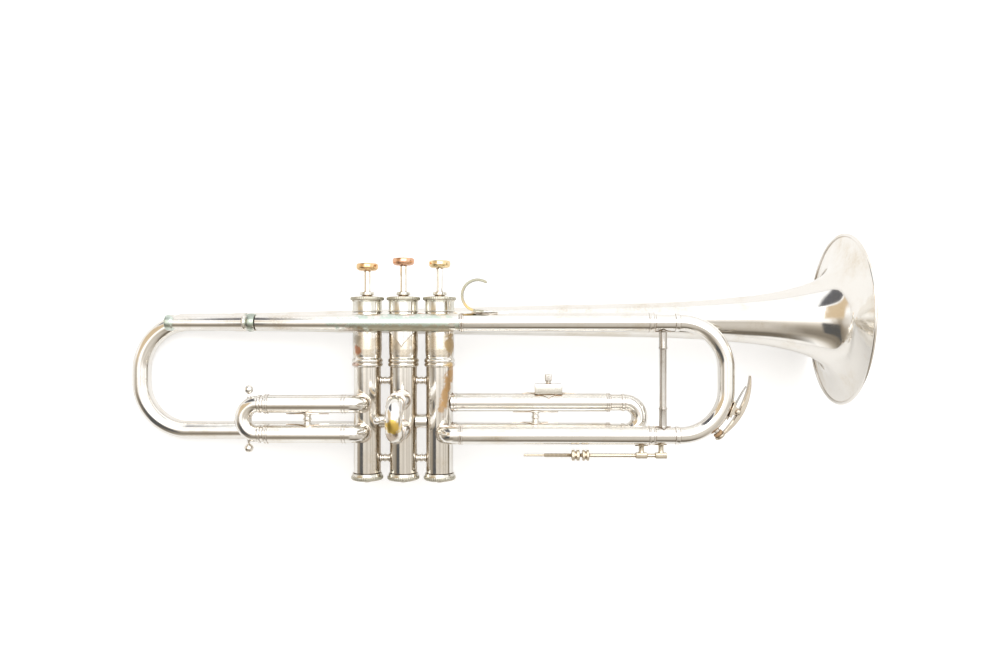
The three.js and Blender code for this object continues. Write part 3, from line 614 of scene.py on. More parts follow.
amber_silver = plated("amber_silver", patches=[
    ((0.5, -61.5, 54), (4.8, 5, 7), AMBER, 0.95),
    ((0, -69, 51), (4.5, 3, 7), BROWN, 0.6),
])
key_silver = plated("key_silver", (0.62, 0.56, 0.47), (0.38, 0.29, 0.20), 0.15)
# A darker copy of the plating for the tuning brace: painted shade, standing for the dark reflection down its side.
brace_shaded_silver = plated("brace_shaded_silver", (0.60, 0.57, 0.53), (0.40, 0.36, 0.31), 0.13)
rod_silver = plated("rod_silver", (0.70, 0.63, 0.51), (0.44, 0.32, 0.19), 0.2)

# ---- valves


def seated(shape, x, towards):
    """Moves the end of a tube that reaches into a casing's middle out to the casing's wall."""
    wall = CASING_RADIUS - 0.3
    for point in shape.points:
        offset = Vector((point.x - x, 0, point.z))
        along = offset.dot(towards)
        aside = (offset - towards * along).length
        if aside < wall:
            point += towards * max(0, math.sqrt(wall ** 2 - aside ** 2) - along)
    return shape


def casing_shape(x):
    outline = [
        (8.65, -103.6), (9.15, -103.6), (9.15, -100.2), (CASING_RADIUS, -100), (CASING_RADIUS, -24.5),
        (10.2, -24.3), (11, -23.6), (11, -22.3), (10.2, -21.5), (11, -20.8), (11, -19.3), (10.2, -18.5),
        (9.9, -17.8), (10.1, -16), (BARREL_RADIUS, -12), (BARREL_RADIUS, 14.4), (9.85, 14.4),
        (9.85, 21.2), (9.1, 21.2), (9.1, -19.5), (5, -19.5), (5, -21.5), (8.65, -21.5), (8.65, -103.6),
    ]
    return turned(outline, (x, 0, 0), Y, 96, 0.5, closed=True)


def cap_knurl(x, inner, outer, low, high, depth):
    outline = [(inner, low), (outer, low), (outer, high), (inner, high)]
    return turned(outline, (x, 0, 0), Y, soft=0.3, flutes=54, flute_depth=depth)


def top_cap_shape(x):
    cup = turned([
        (10.15, 14.7), (10.9, 14.7), (10.9, 15.5), (10.55, 15.8), (10.55, 22), (11.1, 22.9), (11.1, 25.4),
        (4.6, 25.9), (3.6, 26.1), (3.6, 26.5), (5.1, 26.7), (5.1, 28.9), (2.75, 29.1), (2.75, 22),
        (10.15, 22), (10.15, 14.7),
    ], (x, 0, 0), Y, 80, 0.2, closed=True)
    return together(cup, cap_knurl(x, 10.9, 11.95, 23.2, 25.2, 0.22))


def bottom_cap_shape(x):
    cup = turned([
        (9.45, -100.4), (10.55, -100.4), (10.6, -101.6), (10.9, -102.3), (10.9, -105), (10.3, -105.4),
        (3.2, -105.4), (2.75, -105.7), (2.75, -107.1), (1, -107.2), (1, -104), (9.45, -104),
        (9.45, -100.4),
    ], (x, 0, 0), Y, 80, 0.35, closed=True)
    return together(cup, cap_knurl(x, 10.7, 11.4, -104.6, -102.5, 0.2))


def stem_shape(x, top):
    return turned([
        (0, -28.7), (6.4, -28.7), (6.4, -27.2), (2.47, -27.2), (2.47, 18.3), (7.4, 18.3), (7.4, 19.6),
        (2.47, 19.6), (2.47, top), (0, top),
    ], (x, 0, 0), Y, 48, 0.3)


def button_shape(x, underside):
    return turned([
        (0, 3.3), (2.6, 3.3), (2.6, 0), (4.8, 0), (6.6, 0.5), (7.6, 1.5), (7.8, 2.4), (7.8, 4.2),
        (7.4, 5.1), (6.7, 5.35), (5.9, 5.2), (3, 5.45), (0, 5.6),
    ], (x, underside, 0), Y, 72, 0.5)


def valves():
    for i, underside in enumerate(BUTTON_HEIGHTS):
        x = (i - 1) * VALVE_PITCH
        n = i + 1
        show(f"valve_casing_{n}", casing_shape(x), casing_silver[i])
        show(f"top_cap_{n}", top_cap_shape(x), cap_silver)
        show(f"bottom_cap_{n}", bottom_cap_shape(x), cap_silver)
        show(f"stem_{n}", stem_shape(x, underside + 3), silver)
        show(f"finger_button_{n}", button_shape(x, underside), golds[i])


def casing_links():
    reach = VALVE_PITCH - 2 * CASING_RADIUS + 0.6
    for i, pair in enumerate(("12", "23")):
        x = (i - 0.5) * VALVE_PITCH
        for place, height in (("upper", -34.3), ("lower", -89.7)):
            show(f"{place}_casing_brace_{pair}", spool((x, height, 0), X, reach, 3.1, 2.35), silver)
        ends = [Vector((x + side * (reach / 2 + 0.4), TRANSFER_HEIGHT, 0)) for side in (-1, 1)]
        show(f"transfer_tube_{pair}", tube(ends, 5.25, 4.3), silver)


# ---- valve slides


def slide_bow(centre, opening, across, insertion):
    """A U of tube with its bend about a centre, its legs running towards `opening`, and its two rings."""
    centre = Vector(centre)
    arm = across * SLIDE_BEND
    route = [centre + arm + opening * insertion]
    route += bend(centre, across, -opening, SLIDE_BEND, math.pi, 48)
    route += [centre - arm + opening * insertion]
    rings = [band(centre + arm * side, opening, 0.3, 2.2, LEG_BORE + 0.2, 6.4) for side in (1, -1)]
    return together(tube(route, LEG_RADIUS, LEG_BORE), *rings)


def slide_brace(x, z, flange_length):
    top = leaf_flange((x, UPPER_PORT_HEIGHT, z), -Y, SLEEVE_RADIUS, flange_length, 8)
    low = leaf_flange((x, LOWER_PORT_HEIGHT, z), Y, SLEEVE_RADIUS, flange_length, 8)
    reach = 2 * SLIDE_BEND - 2 * SLEEVE_RADIUS + 0.3
    return together(spool((x, SLIDE_MIDDLE, z), Y, reach, 3.1, 2.4), top, low)


def first_slide_sleeve(height):
    elbow = -VALVE_PITCH - 9.4
    route = [Vector((FIRST_TIP, height, FIRST_DEPTH))]
    route += bend((elbow, height, FIRST_DEPTH - ELBOW_RADIUS), Z, X, ELBOW_RADIUS, math.pi / 2)
    route += [Vector((elbow + ELBOW_RADIUS, height, 5))]
    at = (0, height, FIRST_DEPTH)
    return together(
        seated(tube(route, SLEEVE_RADIUS - 0.05, SLEEVE_BORE), -VALVE_PITCH, Z),
        ferrule(at, X, FIRST_TIP, FIRST_TIP + 2.8, SLEEVE_RADIUS, 6.9),
        band(at, X, -40.7, -40.1, RING_BORE, 6.7, 0.25),
        band(at, X, -38.7, -38.1, RING_BORE, 6.7, 0.25),
        band((elbow + ELBOW_RADIUS, height, 0), Z, 8.4, 9.9, RING_BORE, 7.1))


def first_slide():
    for place, height in PORTS:
        show(f"first_slide_{place}_sleeve", first_slide_sleeve(height), silver)
    show("first_slide_brace", slide_brace(-65, FIRST_DEPTH, 30), silver)
    bow = slide_bow((FIRST_BEND, SLIDE_MIDDLE, FIRST_DEPTH), X, Y, 48)
    behind = 6.4
    rise = math.sqrt((SLIDE_BEND + LEG_RADIUS) ** 2 - behind ** 2) - 0.6
    for side in (1, -1):
        bow.add(knob((FIRST_BEND - behind, SLIDE_MIDDLE + side * rise, FIRST_DEPTH), Y * side, 3, 3.1))
    show("first_slide_bow", bow, silver)


def second_slide():
    for place, height in (("upper", SECOND_MIDDLE + SLIDE_BEND), ("lower", SECOND_MIDDLE - SLIDE_BEND)):
        at = (0, height, 0)
        route = [Vector((0, height, 6)), Vector((0, height, SECOND_TIP))]
        shape = together(
            seated(tube(route, SLEEVE_RADIUS, SLEEVE_BORE), 0, Z),
            ferrule(at, Z, SECOND_TIP - 2.4, SECOND_TIP, SLEEVE_RADIUS, 6.85),
            band(at, Z, 9.4, 11, RING_BORE, 7))
        show(f"second_slide_{place}_sleeve", shape, silver)
    bow = slide_bow((0, SECOND_MIDDLE, SECOND_BEND), -Z, Y, 23)
    bow.add(knob((0.6 - LEG_RADIUS, SECOND_MIDDLE, SECOND_BEND + SLIDE_BEND), -X, 3.2, 2.5))
    show("second_slide_bow", bow, amber_silver)


def lyre_holder_shape():
    height = LYRE_TOP - (UPPER_PORT_HEIGHT + SLEEVE_RADIUS) + 0.4
    slot = 4.6
    shift = (height - slot) / 2 - 1
    hole = [p + Vector((0, shift)) for p in rectangle(7, slot, 0.4)]
    centre = (LYRE_X, LYRE_TOP - height / 2, 0)
    flange = leaf_flange((LYRE_X, UPPER_PORT_HEIGHT, 0), Y, SLEEVE_RADIUS, 37, 13.6)
    return together(bar(centre, rectangle(9.4, height, 0.6), 9.7, 0.35, hole), flange)


def lyre_screw_shape():
    stem = turned([(0, -0.95), (1.8, -0.95), (1.8, 1.4), (2.3, 1.8), (2.3, 2.2), (0, 2.2)],
                  (LYRE_X, LYRE_TOP, 0), Y, 40, 0.2)
    head = turned([(0, 2.2), (2.65, 2.2), (2.65, 6.5), (1.2, 6.9), (0, 6.9)], (LYRE_X, LYRE_TOP, 0), Y,
                  soft=0.3, flutes=20, flute_depth=0.2)
    return together(stem, head)


def third_slide():
    for place, height in PORTS:
        at = (0, height, 0)
        route = [Vector((VALVE_PITCH + 8.4, height, 0)), Vector((THIRD_TIP, height, 0))]
        shape = together(
            tube(route, SLEEVE_RADIUS, SLEEVE_BORE),
            ferrule(at, X, THIRD_TIP - 2.4, THIRD_TIP, SLEEVE_RADIUS, 6.9),
            band(at, X, VALVE_PITCH + 10.3, VALVE_PITCH + 12, RING_BORE, 6.9))
        show(f"third_slide_{place}_sleeve", shape, silver)
    show("third_slide_brace", slide_brace(94.5, 0, 32), silver)
    show("third_slide_bow", slide_bow((THIRD_BEND, SLIDE_MIDDLE, 0), -X, Y, 50), silver)
    show("lyre_holder", lyre_holder_shape(), box_silver)
    show("lyre_screw", lyre_screw_shape(), silver)


# ---- leadpipe and tuning sleeves

LEADPIPE_AXIS = (0, LEADPIPE_HEIGHT, LEG_DEPTH)


def leadpipe():
    receiver = turned([
        (4.6, -163.6), (5.2, -163.6), (5.6, -162.8), (5.6, -158.9), (5.1, -158.3), (5.05, -109.4),
        (6.1, -109.1), (6.4, -108.4), (6.1, -107.6), (5.85, -107.2), (5.85, -106.3), (6.2, -105.8),
        (6.4, -104.9), (6.4, -103.2), (6.1, -101.2), (5.8, -100.9), (3.9, -100.9), (4.6, -163.6),
    ], LEADPIPE_AXIS, X, 80, 0.4, closed=True)
    show("mouthpiece_receiver", receiver, receiver_silver)
    pipe = turned([(3.9, -100.4), (5.15, -100.4), (6, -38), (6.25, 41.4), (5.5, 41.4), (3.9, -100.4)],
                  LEADPIPE_AXIS, X, 80, 0.2, closed=True)
    show("leadpipe", pipe, pipe_silver)


def leadpipe_brace():
    """A shield that hugs the middle casing, with a post up to the leadpipe."""
    radius, thickness = BARREL_RADIUS + 0.1, 0.8
    half_width = 9.4
    steps = 14
    rings = []
    for i in range(-steps, steps + 1):
        side = abs(i) / steps
        low, high = -10.4 + 10.4 * side ** 0.85, 13.2 - 4.2 * side ** 2
        angle = math.asin(half_width * i / steps / (radius + 0.9))
        loop = []
        for height, out in ((high, radius), (high - 0.7, radius + thickness),
                            (low + 0.8, radius + thickness), (low, radius)):
            loop.append(Vector((out * math.sin(angle), height, out * math.cos(angle))))
        rings.append(loop)
    post = rod(3, 10.4, 14, (0, LEADPIPE_HEIGHT, 0), Z, 40)
    show("leadpipe_brace", together(Shape().skin(rings), post), silver)


def pinky_hook():
    middle, radius, thickness = Vector((54.1, 25.7)), 10.8, 1.7
    bottom, tip = -math.pi / 2, math.radians(57) - 2 * math.pi
    turns = [bottom + (tip - bottom) * i / 60 for i in range(61)]
    ray = [spoke(a) for a in turns]
    outer = [middle + r * (radius + thickness / 2) for r in ray]
    inner = [middle + r * (radius - thickness / 2) for r in ray[::-1]]
    tip_round = [middle + ray[-1] * radius + Vector((-ray[-1].y, ray[-1].x)) * -0.7]
    foot = [Vector((68, middle.y - radius - thickness / 2)), Vector((68, middle.y - radius - 0.35))]
    outline = [foot[0]] + outer + tip_round + inner + [foot[1]]
    hook = plate(outline, LEG_DEPTH - 3.5, LEG_DEPTH + 3.5, 0.18)
    seat = leaf_flange((62.5, LEADPIPE_HEIGHT, LEG_DEPTH), Y, SLEEVE_RADIUS, 25, 7)
    show("pinky_hook", together(hook, seat), hook_silver)


def tuning_sleeve(route, height, ring_radius, ring_spans):
    """A sleeve with two fine rings near the valves and a ferrule at its open end."""
    at = (0, height, LEG_DEPTH)
    rings = [band(at, X, start, end, SLEEVE_BORE + 0.1, ring_radius, 0.3) for start, end in ring_spans]
    rings.append(ferrule(at, X, SLEEVE_END - 4.1, SLEEVE_END, SLEEVE_RADIUS, 6.95))
    return together(tube(route, SLEEVE_RADIUS, SLEEVE_BORE), *rings)


def tuning_sleeves():
    route = [Vector((x, LEADPIPE_HEIGHT, LEG_DEPTH)) for x in (41.75, SLEEVE_END)]
    upper = tuning_sleeve(route, LEADPIPE_HEIGHT, 6.95, ((41.75, 42.7), (43.2, 44.1)))
    show("upper_tuning_sleeve", upper, silver)
    entry = VALVE_PITCH + 4.6
    elbow = (entry + ELBOW_RADIUS, TUNING_LOWER_HEIGHT, LEG_DEPTH - ELBOW_RADIUS)
    route = [Vector((SLEEVE_END, TUNING_LOWER_HEIGHT, LEG_DEPTH))]
    route += bend(elbow, Z, -X, ELBOW_RADIUS, math.pi / 2)
    route += [Vector((entry, TUNING_LOWER_HEIGHT, 7.5))]
    lower = tuning_sleeve(route, TUNING_LOWER_HEIGHT, 6.9, ((41, 41.9), (42.5, 43.4)))
    show("lower_tuning_sleeve", lower, silver)


# ---- tuning slide and its stop

SEAT_ANGLE = -49
PIVOT_ANGLE = -21.6
PIVOT_REACH = 42
LEVER_TIP_ANGLE = 11
CROOK_OUTER = CORNER_RADIUS + LEG_RADIUS


def corner_matrix(degrees):
    """Turns what is drawn along +x out from the crook's lower corner to an angle."""
    centre = Vector((CORNER_X, TUNING_MIDDLE - TUNING_HALF + CORNER_RADIUS, LEG_DEPTH))
    return Matrix.Translation(centre) @ Matrix.Rotation(math.radians(degrees), 4, "Z")


def tuning_crook():
    corner = TUNING_HALF - CORNER_RADIUS
    at = Vector((CORNER_X, TUNING_MIDDLE, LEG_DEPTH))
    route = [Vector((LEG_TIP, LEADPIPE_HEIGHT, LEG_DEPTH))]
    route += bend(at + Y * corner, Y, X, CORNER_RADIUS, math.pi / 2, 32)
    route += bend(at - Y * corner, X, -Y, CORNER_RADIUS, math.pi / 2, 32)
    route += [Vector((LEG_TIP, TUNING_LOWER_HEIGHT, LEG_DEPTH))]
    rings = [band((0, height, LEG_DEPTH), X, 190.4, 193.4, LEG_BORE + 0.2, 6.35, 0.6)
             for height in (LEADPIPE_HEIGHT, TUNING_LOWER_HEIGHT)]
    base, rim = CROOK_OUTER - 0.6, CROOK_OUTER + 1.2
    profile = [(1.3, base), (2.9, base), (2.6, CROOK_OUTER + 0.3), (2.5, rim), (1.3, rim), (1.3, base)]
    nipple = turned(profile, axis=X, sides=40, soft=0.2, closed=True).moved(corner_matrix(SEAT_ANGLE))
    show("tuning_crook", together(tube(route, LEG_RADIUS, LEG_BORE, 48), *rings, nipple), silver)


def tuning_brace():
    end = TUNING_HALF - LEG_RADIUS + 0.1
    x = 182.2
    column = turned([
        (0, -end), (3.2, -end), (2.7, 0.8 - end), (2.67, 12 - end), (3.05, 12.3 - end), (3.05, 13.3 - end),
        (2.42, 13.7 - end), (2.42, end - 12.8), (3.05, end - 12.4), (3.05, end - 11.4), (2.67, end - 11),
        (2.7, end - 0.8), (3.2, end), (0, end),
    ], (x, TUNING_MIDDLE, LEG_DEPTH), Y, 48, 0.3)
    flanges = [leaf_flange((x, height, LEG_DEPTH), face, LEG_RADIUS, 10.8, 9)
               for height, face in ((LEADPIPE_HEIGHT, -Y), (TUNING_LOWER_HEIGHT, Y))]
    show("tuning_brace", together(column, *flanges), brace_shaded_silver)


def stop_column(x, tube_radius, flange_length, hole_radius=0):
    """A post under a leg with a cross block at its foot, which may have a hole along x."""
    flange = leaf_flange((x, TUNING_LOWER_HEIGHT, LEG_DEPTH), -Y, tube_radius, flange_length, 8)
    top = TUNING_LOWER_HEIGHT - tube_radius
    post = turned([(0, STOP_ROD_HEIGHT + 1.6), (2.3, STOP_ROD_HEIGHT + 1.6), (1.8, STOP_ROD_HEIGHT + 3.2),
                   (1.8, top - 1.4), (2.6, top), (0, top)], (x, 0, LEG_DEPTH), Y, 40, 0.5)
    outline = rectangle(4.4, 4, 0.9)
    hole = [p.normalized() * hole_radius for p in outline] if hole_radius else ()
    return together(flange, post, bar((x, STOP_ROD_HEIGHT, LEG_DEPTH), outline, 4, 0.4, hole))


def thread(origin, axis, radius, start, end):
    """A fine screw thread, as close grooves."""
    root = radius - 0.22
    count = round((end - start) / 0.9)
    pitch = (end - start) / count
    outline = [(0, start)]
    for i in range(count):
        along = start + i * pitch
        outline += [(root, along), (radius, along + 0.5 * pitch)]
    outline += [(root, end), (0, end)]
    return turned(outline, origin, axis, 24, 0)


def knurled_nut(at, start, end):
    """Two fluted discs on a hub."""
    middle = (start + end) / 2
    hub = turned([(1.75, start), (2.9, start), (2.9, end), (1.75, end), (1.75, start)],
                 at, X, 40, 0.2, closed=True)
    for low, high in ((start + 0.2, middle - 0.7), (middle + 0.7, end - 0.2)):
        hub.add(turned([(2.2, low), (3.75, low), (3.75, high), (2.2, high)], at, X, soft=0.2,
                       flutes=36, flute_depth=0.1))
    return hub


def tuning_stop():
    at = (0, STOP_ROD_HEIGHT, LEG_DEPTH)
    thin = rod(0.9, 86, 100.5, at, X, 24)
    screw = thread(at, X, 1.45, 100.3, 132)
    shaft = rod(1.3, 131.8, 181, at, X, 24)
    show("stop_rod", together(stop_column(180.8, LEG_RADIUS, 8), thin, screw, shaft), rod_silver)
    show("stop_post", stop_column(167.3, SLEEVE_RADIUS, 9, 1.8), rod_silver)
    show("stop_nut", knurled_nut(at, 126.4, 131.2), rod_silver)
    show("stop_lock_nut", knurled_nut(at, 119, 124.7), rod_silver)


# ---- water key


def round_corner(reach, degrees, z):
    """A point at a distance and an angle from the middle of the crook's lower corner."""
    return corner_matrix(0) @ Vector((*spoke(math.radians(degrees)) * reach, z))


def lever_edge(fraction, side):
    thickness = 0.7 + 0.6 * (1 - fraction) + 2.7 * math.sin(math.pi * fraction)
    reach = 42.6 + 6.6 * fraction ** 1.6 + side * thickness / 2
    return spoke(math.radians(SEAT_ANGLE + (LEVER_TIP_ANGLE - SEAT_ANGLE) * fraction)) * reach


def water_key_lever(pivot):
    """A bowed blade with the cork's cup at one end and a tube for the pin on its back."""
    fractions = [i / 40 for i in range(41)]
    outline = [lever_edge(f, 1) for f in fractions] + [lever_edge(f, -1) for f in fractions[::-1]]
    blade = plate(outline, -2.5, 2.5, 0.5, corner_matrix(0))
    cup = turned([(0, 41.55), (3.3, 41.55), (4.1, 41.9), (4.1, 42.9), (3.2, 43.9), (0, 44.3)], axis=X,
                 sides=48, soft=0.35).moved(corner_matrix(SEAT_ANGLE))
    boss = turned([(1.2, -2.5), (2.2, -2.5), (2.2, 2.5), (1.2, 2.5), (1.2, -2.5)], axis=Z, sides=40,
                  closed=True).moved(pivot)
    show("water_key_lever", together(blade, cup, boss), key_silver)


def water_key_saddle():
    """A block on a flange, with an ear on each side that holds the pin."""
    corner = corner_matrix(PIVOT_ANGLE)
    saddle = block((CROOK_OUTER + 0.6, 0, 0), (1.9, 10.6, 8.2), 0.5, corner)
    foot = leaf_flange((0, 0, 0), X, LEG_RADIUS, 15, 9, axis=Y)
    saddle.add(foot.moved(corner @ Matrix.Translation((CORNER_RADIUS, 0, 0))))
    eye = Vector((PIVOT_REACH - CROOK_OUTER, 0))
    turns = [math.radians(degrees) for degrees in range(-80, 81, 10)]
    ear = [Vector((0, 3.4)), Vector((0, -3.4))]
    ear += [eye + spoke(a) * 2.2 for a in turns]
    for low, high in ((-4.2, -3.0), (3.0, 4.2)):
        saddle.add(plate(ear, low, high, 0.2, corner @ Matrix.Translation((CROOK_OUTER, 0, 0))))
    show("water_key_saddle", saddle, key_silver)


def water_key_spring():
    """Two wires from the saddle to the lever's free end."""
    wires = Shape()
    for side in (-1, 1):
        stops = (39.7, -16, side), (41.6, -6, side), (45.6, 2.5, 0.6 * side)
        bottom, knee, top = [round_corner(*stop) for stop in stops]
        wires.add(tube(arch(bottom, knee, top, 16), 0.42, sides=16))
    show("water_key_spring", wires, spring_steel)


def water_key():
    pivot = corner_matrix(PIVOT_ANGLE) @ Matrix.Translation((PIVOT_REACH, 0, 0))
    water_key_lever(pivot)
    cork_disc = rod(3.3, CROOK_OUTER + 1.5, 41.4, axis=X, sides=40, soft=0.3)
    show("water_key_cork", cork_disc.moved(corner_matrix(SEAT_ANGLE)), cork)
    water_key_saddle()
    pin = turned([(0, -5.2), (1.1, -5.2), (1.1, -4.4), (1.15, 4.3), (1.9, 4.4), (1.9, 5.1), (1.2, 5.65),
                  (0, 5.7)], axis=Z, sides=40, soft=0.25)
    show("water_key_pin", pin.moved(pivot), key_silver)
    water_key_spring()


# ---- bell

BELL_LENGTH = BELL_RIM_X - BELL_TAIL_X
RIM_BEAD = 1.15

# distance behind the rim and outer radius
BELL_OUTLINE = (
    (0, 61.8), (0.7, 56.3), (1.8, 50.5), (4.6, 42), (7.8, 37), (11.8, 33), (21, 27.8), (31.8, 24),
    (54.6, 19.1), (80.5, 16.2), (117.5, 13.5), (234.5, 11), (BELL_LENGTH, BOW_RADIUS),
)


def smooth_curve(points, steps):
    """A Catmull-Rom curve through points, evened out by the square root of their distances."""
    points = [Vector(p) for p in points]
    padded = [points[0] * 2 - points[1]] + points + [points[-1] * 2 - points[-2]]
    out = []
    for p0, p1, p2, p3 in zip(padded, padded[1:], padded[2:], padded[3:]):
        t1 = (p1 - p0).length ** 0.5
        t2 = t1 + (p2 - p1).length ** 0.5
        t3 = t2 + (p3 - p2).length ** 0.5
        for i in range(steps):
            t = t1 + (t2 - t1) * i / steps
            a1 = p0 * ((t1 - t) / t1) + p1 * (t / t1)
            a2 = p1 * ((t2 - t) / (t2 - t1)) + p2 * ((t - t1) / (t2 - t1))
            a3 = p2 * ((t3 - t) / (t3 - t2)) + p3 * ((t - t2) / (t3 - t2))
            b1 = a1 * ((t2 - t) / t2) + a2 * (t / t2)
            b2 = a2 * ((t3 - t) / (t3 - t1)) + a3 * ((t - t1) / (t3 - t1))
            out.append(b1 * ((t2 - t) / (t2 - t1)) + b2 * ((t - t1) / (t2 - t1)))
    return out + [points[-1]]


def bell_wall():
    """The closed outline of the bell's wall: up its inside, round the rim's bead and down its outside."""
    outside = [Vector((p.y, BELL_LENGTH - p.x)) for p in smooth_curve(BELL_OUTLINE, 8)]
    inside = []
    for before, after, point in zip([outside[0]] + outside, outside[1:] + [outside[-1]], outside):
        run = (after - before).normalized()
        inside.append(point + Vector((run.y, -run.x)) * BELL_WALL * (-1 if run.y > 0 else 1))
    inside = [Vector((min(p.x, o.x - 0.3), min(p.y, BELL_LENGTH + 0.3))) for p, o in zip(inside, outside)]
    rim_middle = Vector((BELL_RIM_RADIUS - RIM_BEAD, BELL_LENGTH - 0.1))
    turns = [math.radians(150 - d) for d in range(0, 301, 20)]
    rim = [rim_middle + spoke(a) * RIM_BEAD for a in turns]
    inside = [p for p in inside if p.x < rim_middle.x - RIM_BEAD]
    outside = [p for p in outside if p.x < rim_middle.x - 0.7 * RIM_BEAD]
    outline = inside[::-1] + rim + outside
    return outline + [outline[0]]


def bell():
    flare = turned(bell_wall(), axis=X, sides=160, soft=0, closed=True)
    for point in flare.points:
        nearness = max(0, 1 - (BELL_LENGTH - point.x) / LEANING_LENGTH)
        point.x += MOUTH_LEAN * nearness * point.y
    placed = Matrix.Translation((BELL_TAIL_X, BELL_HEIGHT, BELL_DEPTH)) @ Matrix.Rotation(BELL_RISE, 4, "Z")
    show("bell", flare.moved(placed), silver)


def bell_bow():
    elbow = -VALVE_PITCH - 10
    low, high = BOW_LEG_HEIGHT, BELL_HEIGHT
    r = BOW_CORNER_RADIUS
    route = [Vector((elbow + ELBOW_RADIUS, low, -7.5))]
    route += bend((elbow, low, BELL_DEPTH + ELBOW_RADIUS), X, -Z, ELBOW_RADIUS, math.pi / 2)
    route += bend((BOW_CORNER_X, low + r, BELL_DEPTH), -Y, -X, r, math.pi / 2, 32)
    route += bend((BOW_CORNER_X, high - r, BELL_DEPTH), -X, Y, r, math.pi / 2, 32)
    route += [Vector((BELL_TAIL_X - 0.1, high, BELL_DEPTH))]
    bow = together(
        tube(route, BOW_RADIUS - 0.02, BOW_BORE, 48),
        band((0, high, BELL_DEPTH), X, BELL_TAIL_X - 9, BELL_TAIL_X - 0.1, BOW_BORE + 0.1, 7.05, 0.6),
        band((elbow + ELBOW_RADIUS, low, 0), Z, -10.9, -9.4, BOW_BORE + 0.1, 7.2))
    show("bell_bow", bow, silver)


def bell_brace():
    x = -45
    post = rod(1.7, BELL_DEPTH + 8.3, LEG_DEPTH - 6, (x, BELL_HEIGHT, 0), Z, 32)
    pipe_flange = leaf_flange((x, LEADPIPE_HEIGHT, LEG_DEPTH), -Z, 6.05, 16, 8)
    tail_flange = leaf_flange((x, BELL_HEIGHT + 0.3, BELL_DEPTH), Z, 8.5, 16, 12)
    show("bell_brace", together(post, pipe_flange, tail_flange), silver)


# ---- build everything

valves()
casing_links()
first_slide()
second_slide()
third_slide()
leadpipe()
leadpipe_brace()
pinky_hook()
tuning_sleeves()
tuning_crook()
tuning_brace()
tuning_stop()
water_key()
bell()
bell_bow()
bell_brace()

# what stays as the CAD made it: the pistons and their springs, inside the casings
for n in (1, 2, 3):
    for node, material in ((f"piston_{n}", monel), (f"valve_spring_{n}", spring_steel)):
        mesh = frame["nodes"][node].data
        mesh.materials.clear()
        mesh.materials.append(material)

# ---- floor, light and camera


def studio_floor():
    """A pale matt floor that glows a little, and more so where the camera sees it."""
    mesh = bpy.data.meshes.new("studio_floor")
    half = 4
    corners = [(-half, -half, 0), (half, -half, 0), (half, half, 0), (-half, half, 0)]
    mesh.from_pydata(corners, [], [(0, 1, 2, 3)])
    matt = Surface("studio_floor")
    matt.paint((0.7, 0.7, 0.7), 0.9, 0)
    seen = matt.add("LightPath").outputs["Is Camera Ray"]
    matt.feed(matt.shader.inputs["Specular IOR Level"], 0.1)
    matt.feed(matt.shader.inputs["Emission Color"], (1, 1, 1))
    matt.feed(matt.shader.inputs["Emission Strength"], matt.remap(seen, 0, 1, 0.2, 0.5, "LINEAR"))
    mesh.materials.append(matt.material)
    floor = bpy.data.objects.new("studio_floor", mesh)
    bpy.context.scene.collection.objects.link(floor)


def softbox(name, place, target, width, height, watts):
    light = bpy.data.lights.new(name, "AREA")
    light.shape = "RECTANGLE"
    light.size, light.size_y = width, height
    light.energy = watts
    lamp = bpy.data.objects.new(name, light)
    lamp.location = place
    lamp.rotation_mode = "QUATERNION"
    lamp.rotation_quaternion = (Vector(target) - Vector(place)).to_track_quat("-Z", "Y")
    bpy.context.scene.collection.objects.link(lamp)


# The room's brightness by the angle, in degrees, that a direction leans from upright: towards the finger
# buttons for the two sides of the room, and towards the bell for ACROSS.
TAIL_SIDE = (
    (-90, 0.95), (-78, 0.95), (-66, 0.7), (-58, 0.38), (-47, 0.2), (-35, 0.24), (-22, 0.38), (-13, 0.56),
    (-9, 0.75), (-4, 0.93), (3, 1), (90, 1),
)
BELL_SIDE = (
    (-90, 0.95), (-82, 0.85), (-77, 0.16), (-62, 0.15), (-52, 0.42), (-36, 0.55), (-22, 0.6), (-13, 0.56),
    (-9, 0.75), (-4, 0.93), (3, 1), (90, 1),
)
ACROSS = (
    (-90, 0.75), (-70, 0.6), (-60, 0.4), (-53, 0.42), (-46, 0.75), (-39, 1.05), (-27, 1.28), (-13, 1.24),
    (-3, 0.92), (5, 0.95), (14, 1.2), (23, 1.12), (30, 0.82), (38, 1.15), (48, 0.86), (56, 1.05),
    (62, 1.2), (68, 0.8), (74, 0.26), (84, 0.2), (90, 0.3),
)

# How far the bell's side takes over, towards the bell, and how strongly ACROSS counts, towards the buttons.
BELL_SHARE = ((-14, 0), (-4, 1))
ACROSS_SHARE = ((-90, 0.2), (-32, 0.35), (-15, 1), (2, 1), (10, 0), (90, 0))

# Things that the flare mirrors: a colour, and the X and the Y angles between which each fades in and out.
MIRRORED_THINGS = (
    ((0.62, 0.49, 0.33), (-76, -68, -36, -28), (-2, 6, 32, 35)),
    ((0.12, 0.12, 0.13), (-89, -86, -26, -22), (36, 38, 66, 70)),
    ((0.09, 0.09, 0.09), (-58, -56, -32, -30), (-38, -36, -11, -9)),
)


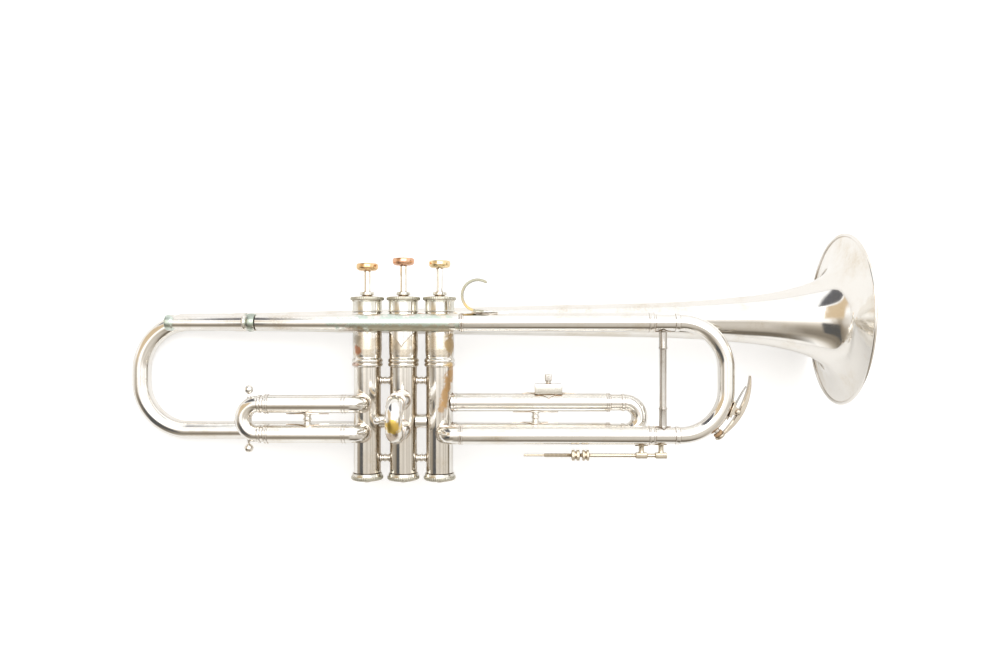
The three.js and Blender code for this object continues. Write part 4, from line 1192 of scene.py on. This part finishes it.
def shades(graph, sideways, stops):
    """A ramp over the angle from upright towards an axis. Darker stops are warmer."""
    ramp = graph.add("ValToRGB")
    elements = ramp.color_ramp.elements
    places = [(degrees + 90) / 180 for degrees, light in stops]
    elements[0].position, elements[1].position = places[0], places[-1]
    for place in places[1:-1]:
        elements.new(place)
    for element, (degrees, light) in zip(elements, stops):
        pale = min(light, 1)
        element.color = (light, light * (0.84 + 0.16 * pale), light * (0.62 + 0.38 * pale), 1)
    direction = graph.add("SeparateXYZ", {"Vector": graph.add("TexCoord").outputs["Generated"]})
    angle = graph.maths("ARCSINE", direction.outputs[sideways])
    quarter = math.pi / 2
    graph.feed(ramp.inputs["Fac"], graph.remap(angle, -quarter, quarter, kind="LINEAR"))
    return ramp.outputs["Color"]


def rectangle_share(graph, across_edges, upright_edges):
    """1 within a rectangle of directions; each side fades in and out between two angles."""
    shares = [shades(graph, sideways, list(zip(edges, (0, 1, 1, 0))))
              for sideways, edges in (("X", across_edges), ("Y", upright_edges))]
    return graph.maths("MULTIPLY", *shares)


def studio_surroundings():
    """A room of light and dark bands, seen only in reflections. The camera sees a plain pale grey."""
    world = bpy.data.worlds.new("studio")
    world.use_nodes = True
    bpy.context.scene.world = world
    graph = Graph(world.node_tree)
    lengthwise = graph.mix(shades(graph, "X", BELL_SHARE), shades(graph, "Y", TAIL_SIDE),
                           shades(graph, "Y", BELL_SIDE))
    room = graph.mix(shades(graph, "Y", ACROSS_SHARE), lengthwise, shades(graph, "X", ACROSS), "MULTIPLY")
    for colour, across_edges, upright_edges in MIRRORED_THINGS:
        room = graph.mix(rectangle_share(graph, across_edges, upright_edges), room, colour)
    mirrored = graph.add("Background", {"Color": room, "Strength": 1.2})
    plain = graph.add("Background", {"Color": (0.95, 0.95, 0.95)})
    seen = graph.add("MixShader", {
        "Fac": graph.add("LightPath").outputs["Is Camera Ray"],
        1: mirrored.outputs["Background"],
        2: plain.outputs["Background"],
    })
    graph.feed(graph.tree.nodes["World Output"].inputs["Surface"], seen.outputs["Shader"])


def camera():
    """Looks down on the cornet from a little to the bell's side, with the valve axes upright."""
    data = bpy.data.cameras.new("camera")
    data.sensor_width = 36
    data.lens = 30.24
    data.clip_start, data.clip_end = 0.01, 20
    lean, distance = math.radians(1.1), 600.6
    target = Vector((69.2, 0, 0))
    back, right = swung(Z, X, lean), swung(X, -Z, lean)
    turn = to_frame.to_3x3() * (1 / MM)
    cam = bpy.data.objects.new("camera", data)
    pose = Matrix((turn @ right, turn @ Y, turn @ back)).transposed().to_4x4()
    cam.matrix_world = Matrix.Translation(to_frame @ (target + back * distance)) @ pose
    bpy.context.scene.collection.objects.link(cam)
    bpy.context.scene.camera = cam


studio_floor()
studio_surroundings()
softbox("overhead_panel", (0.05, 0.6, 1.6), (0.03, 0, 0), 1.7, 1.1, 13)
camera()
bpy.context.scene.view_settings.view_transform = "Standard"
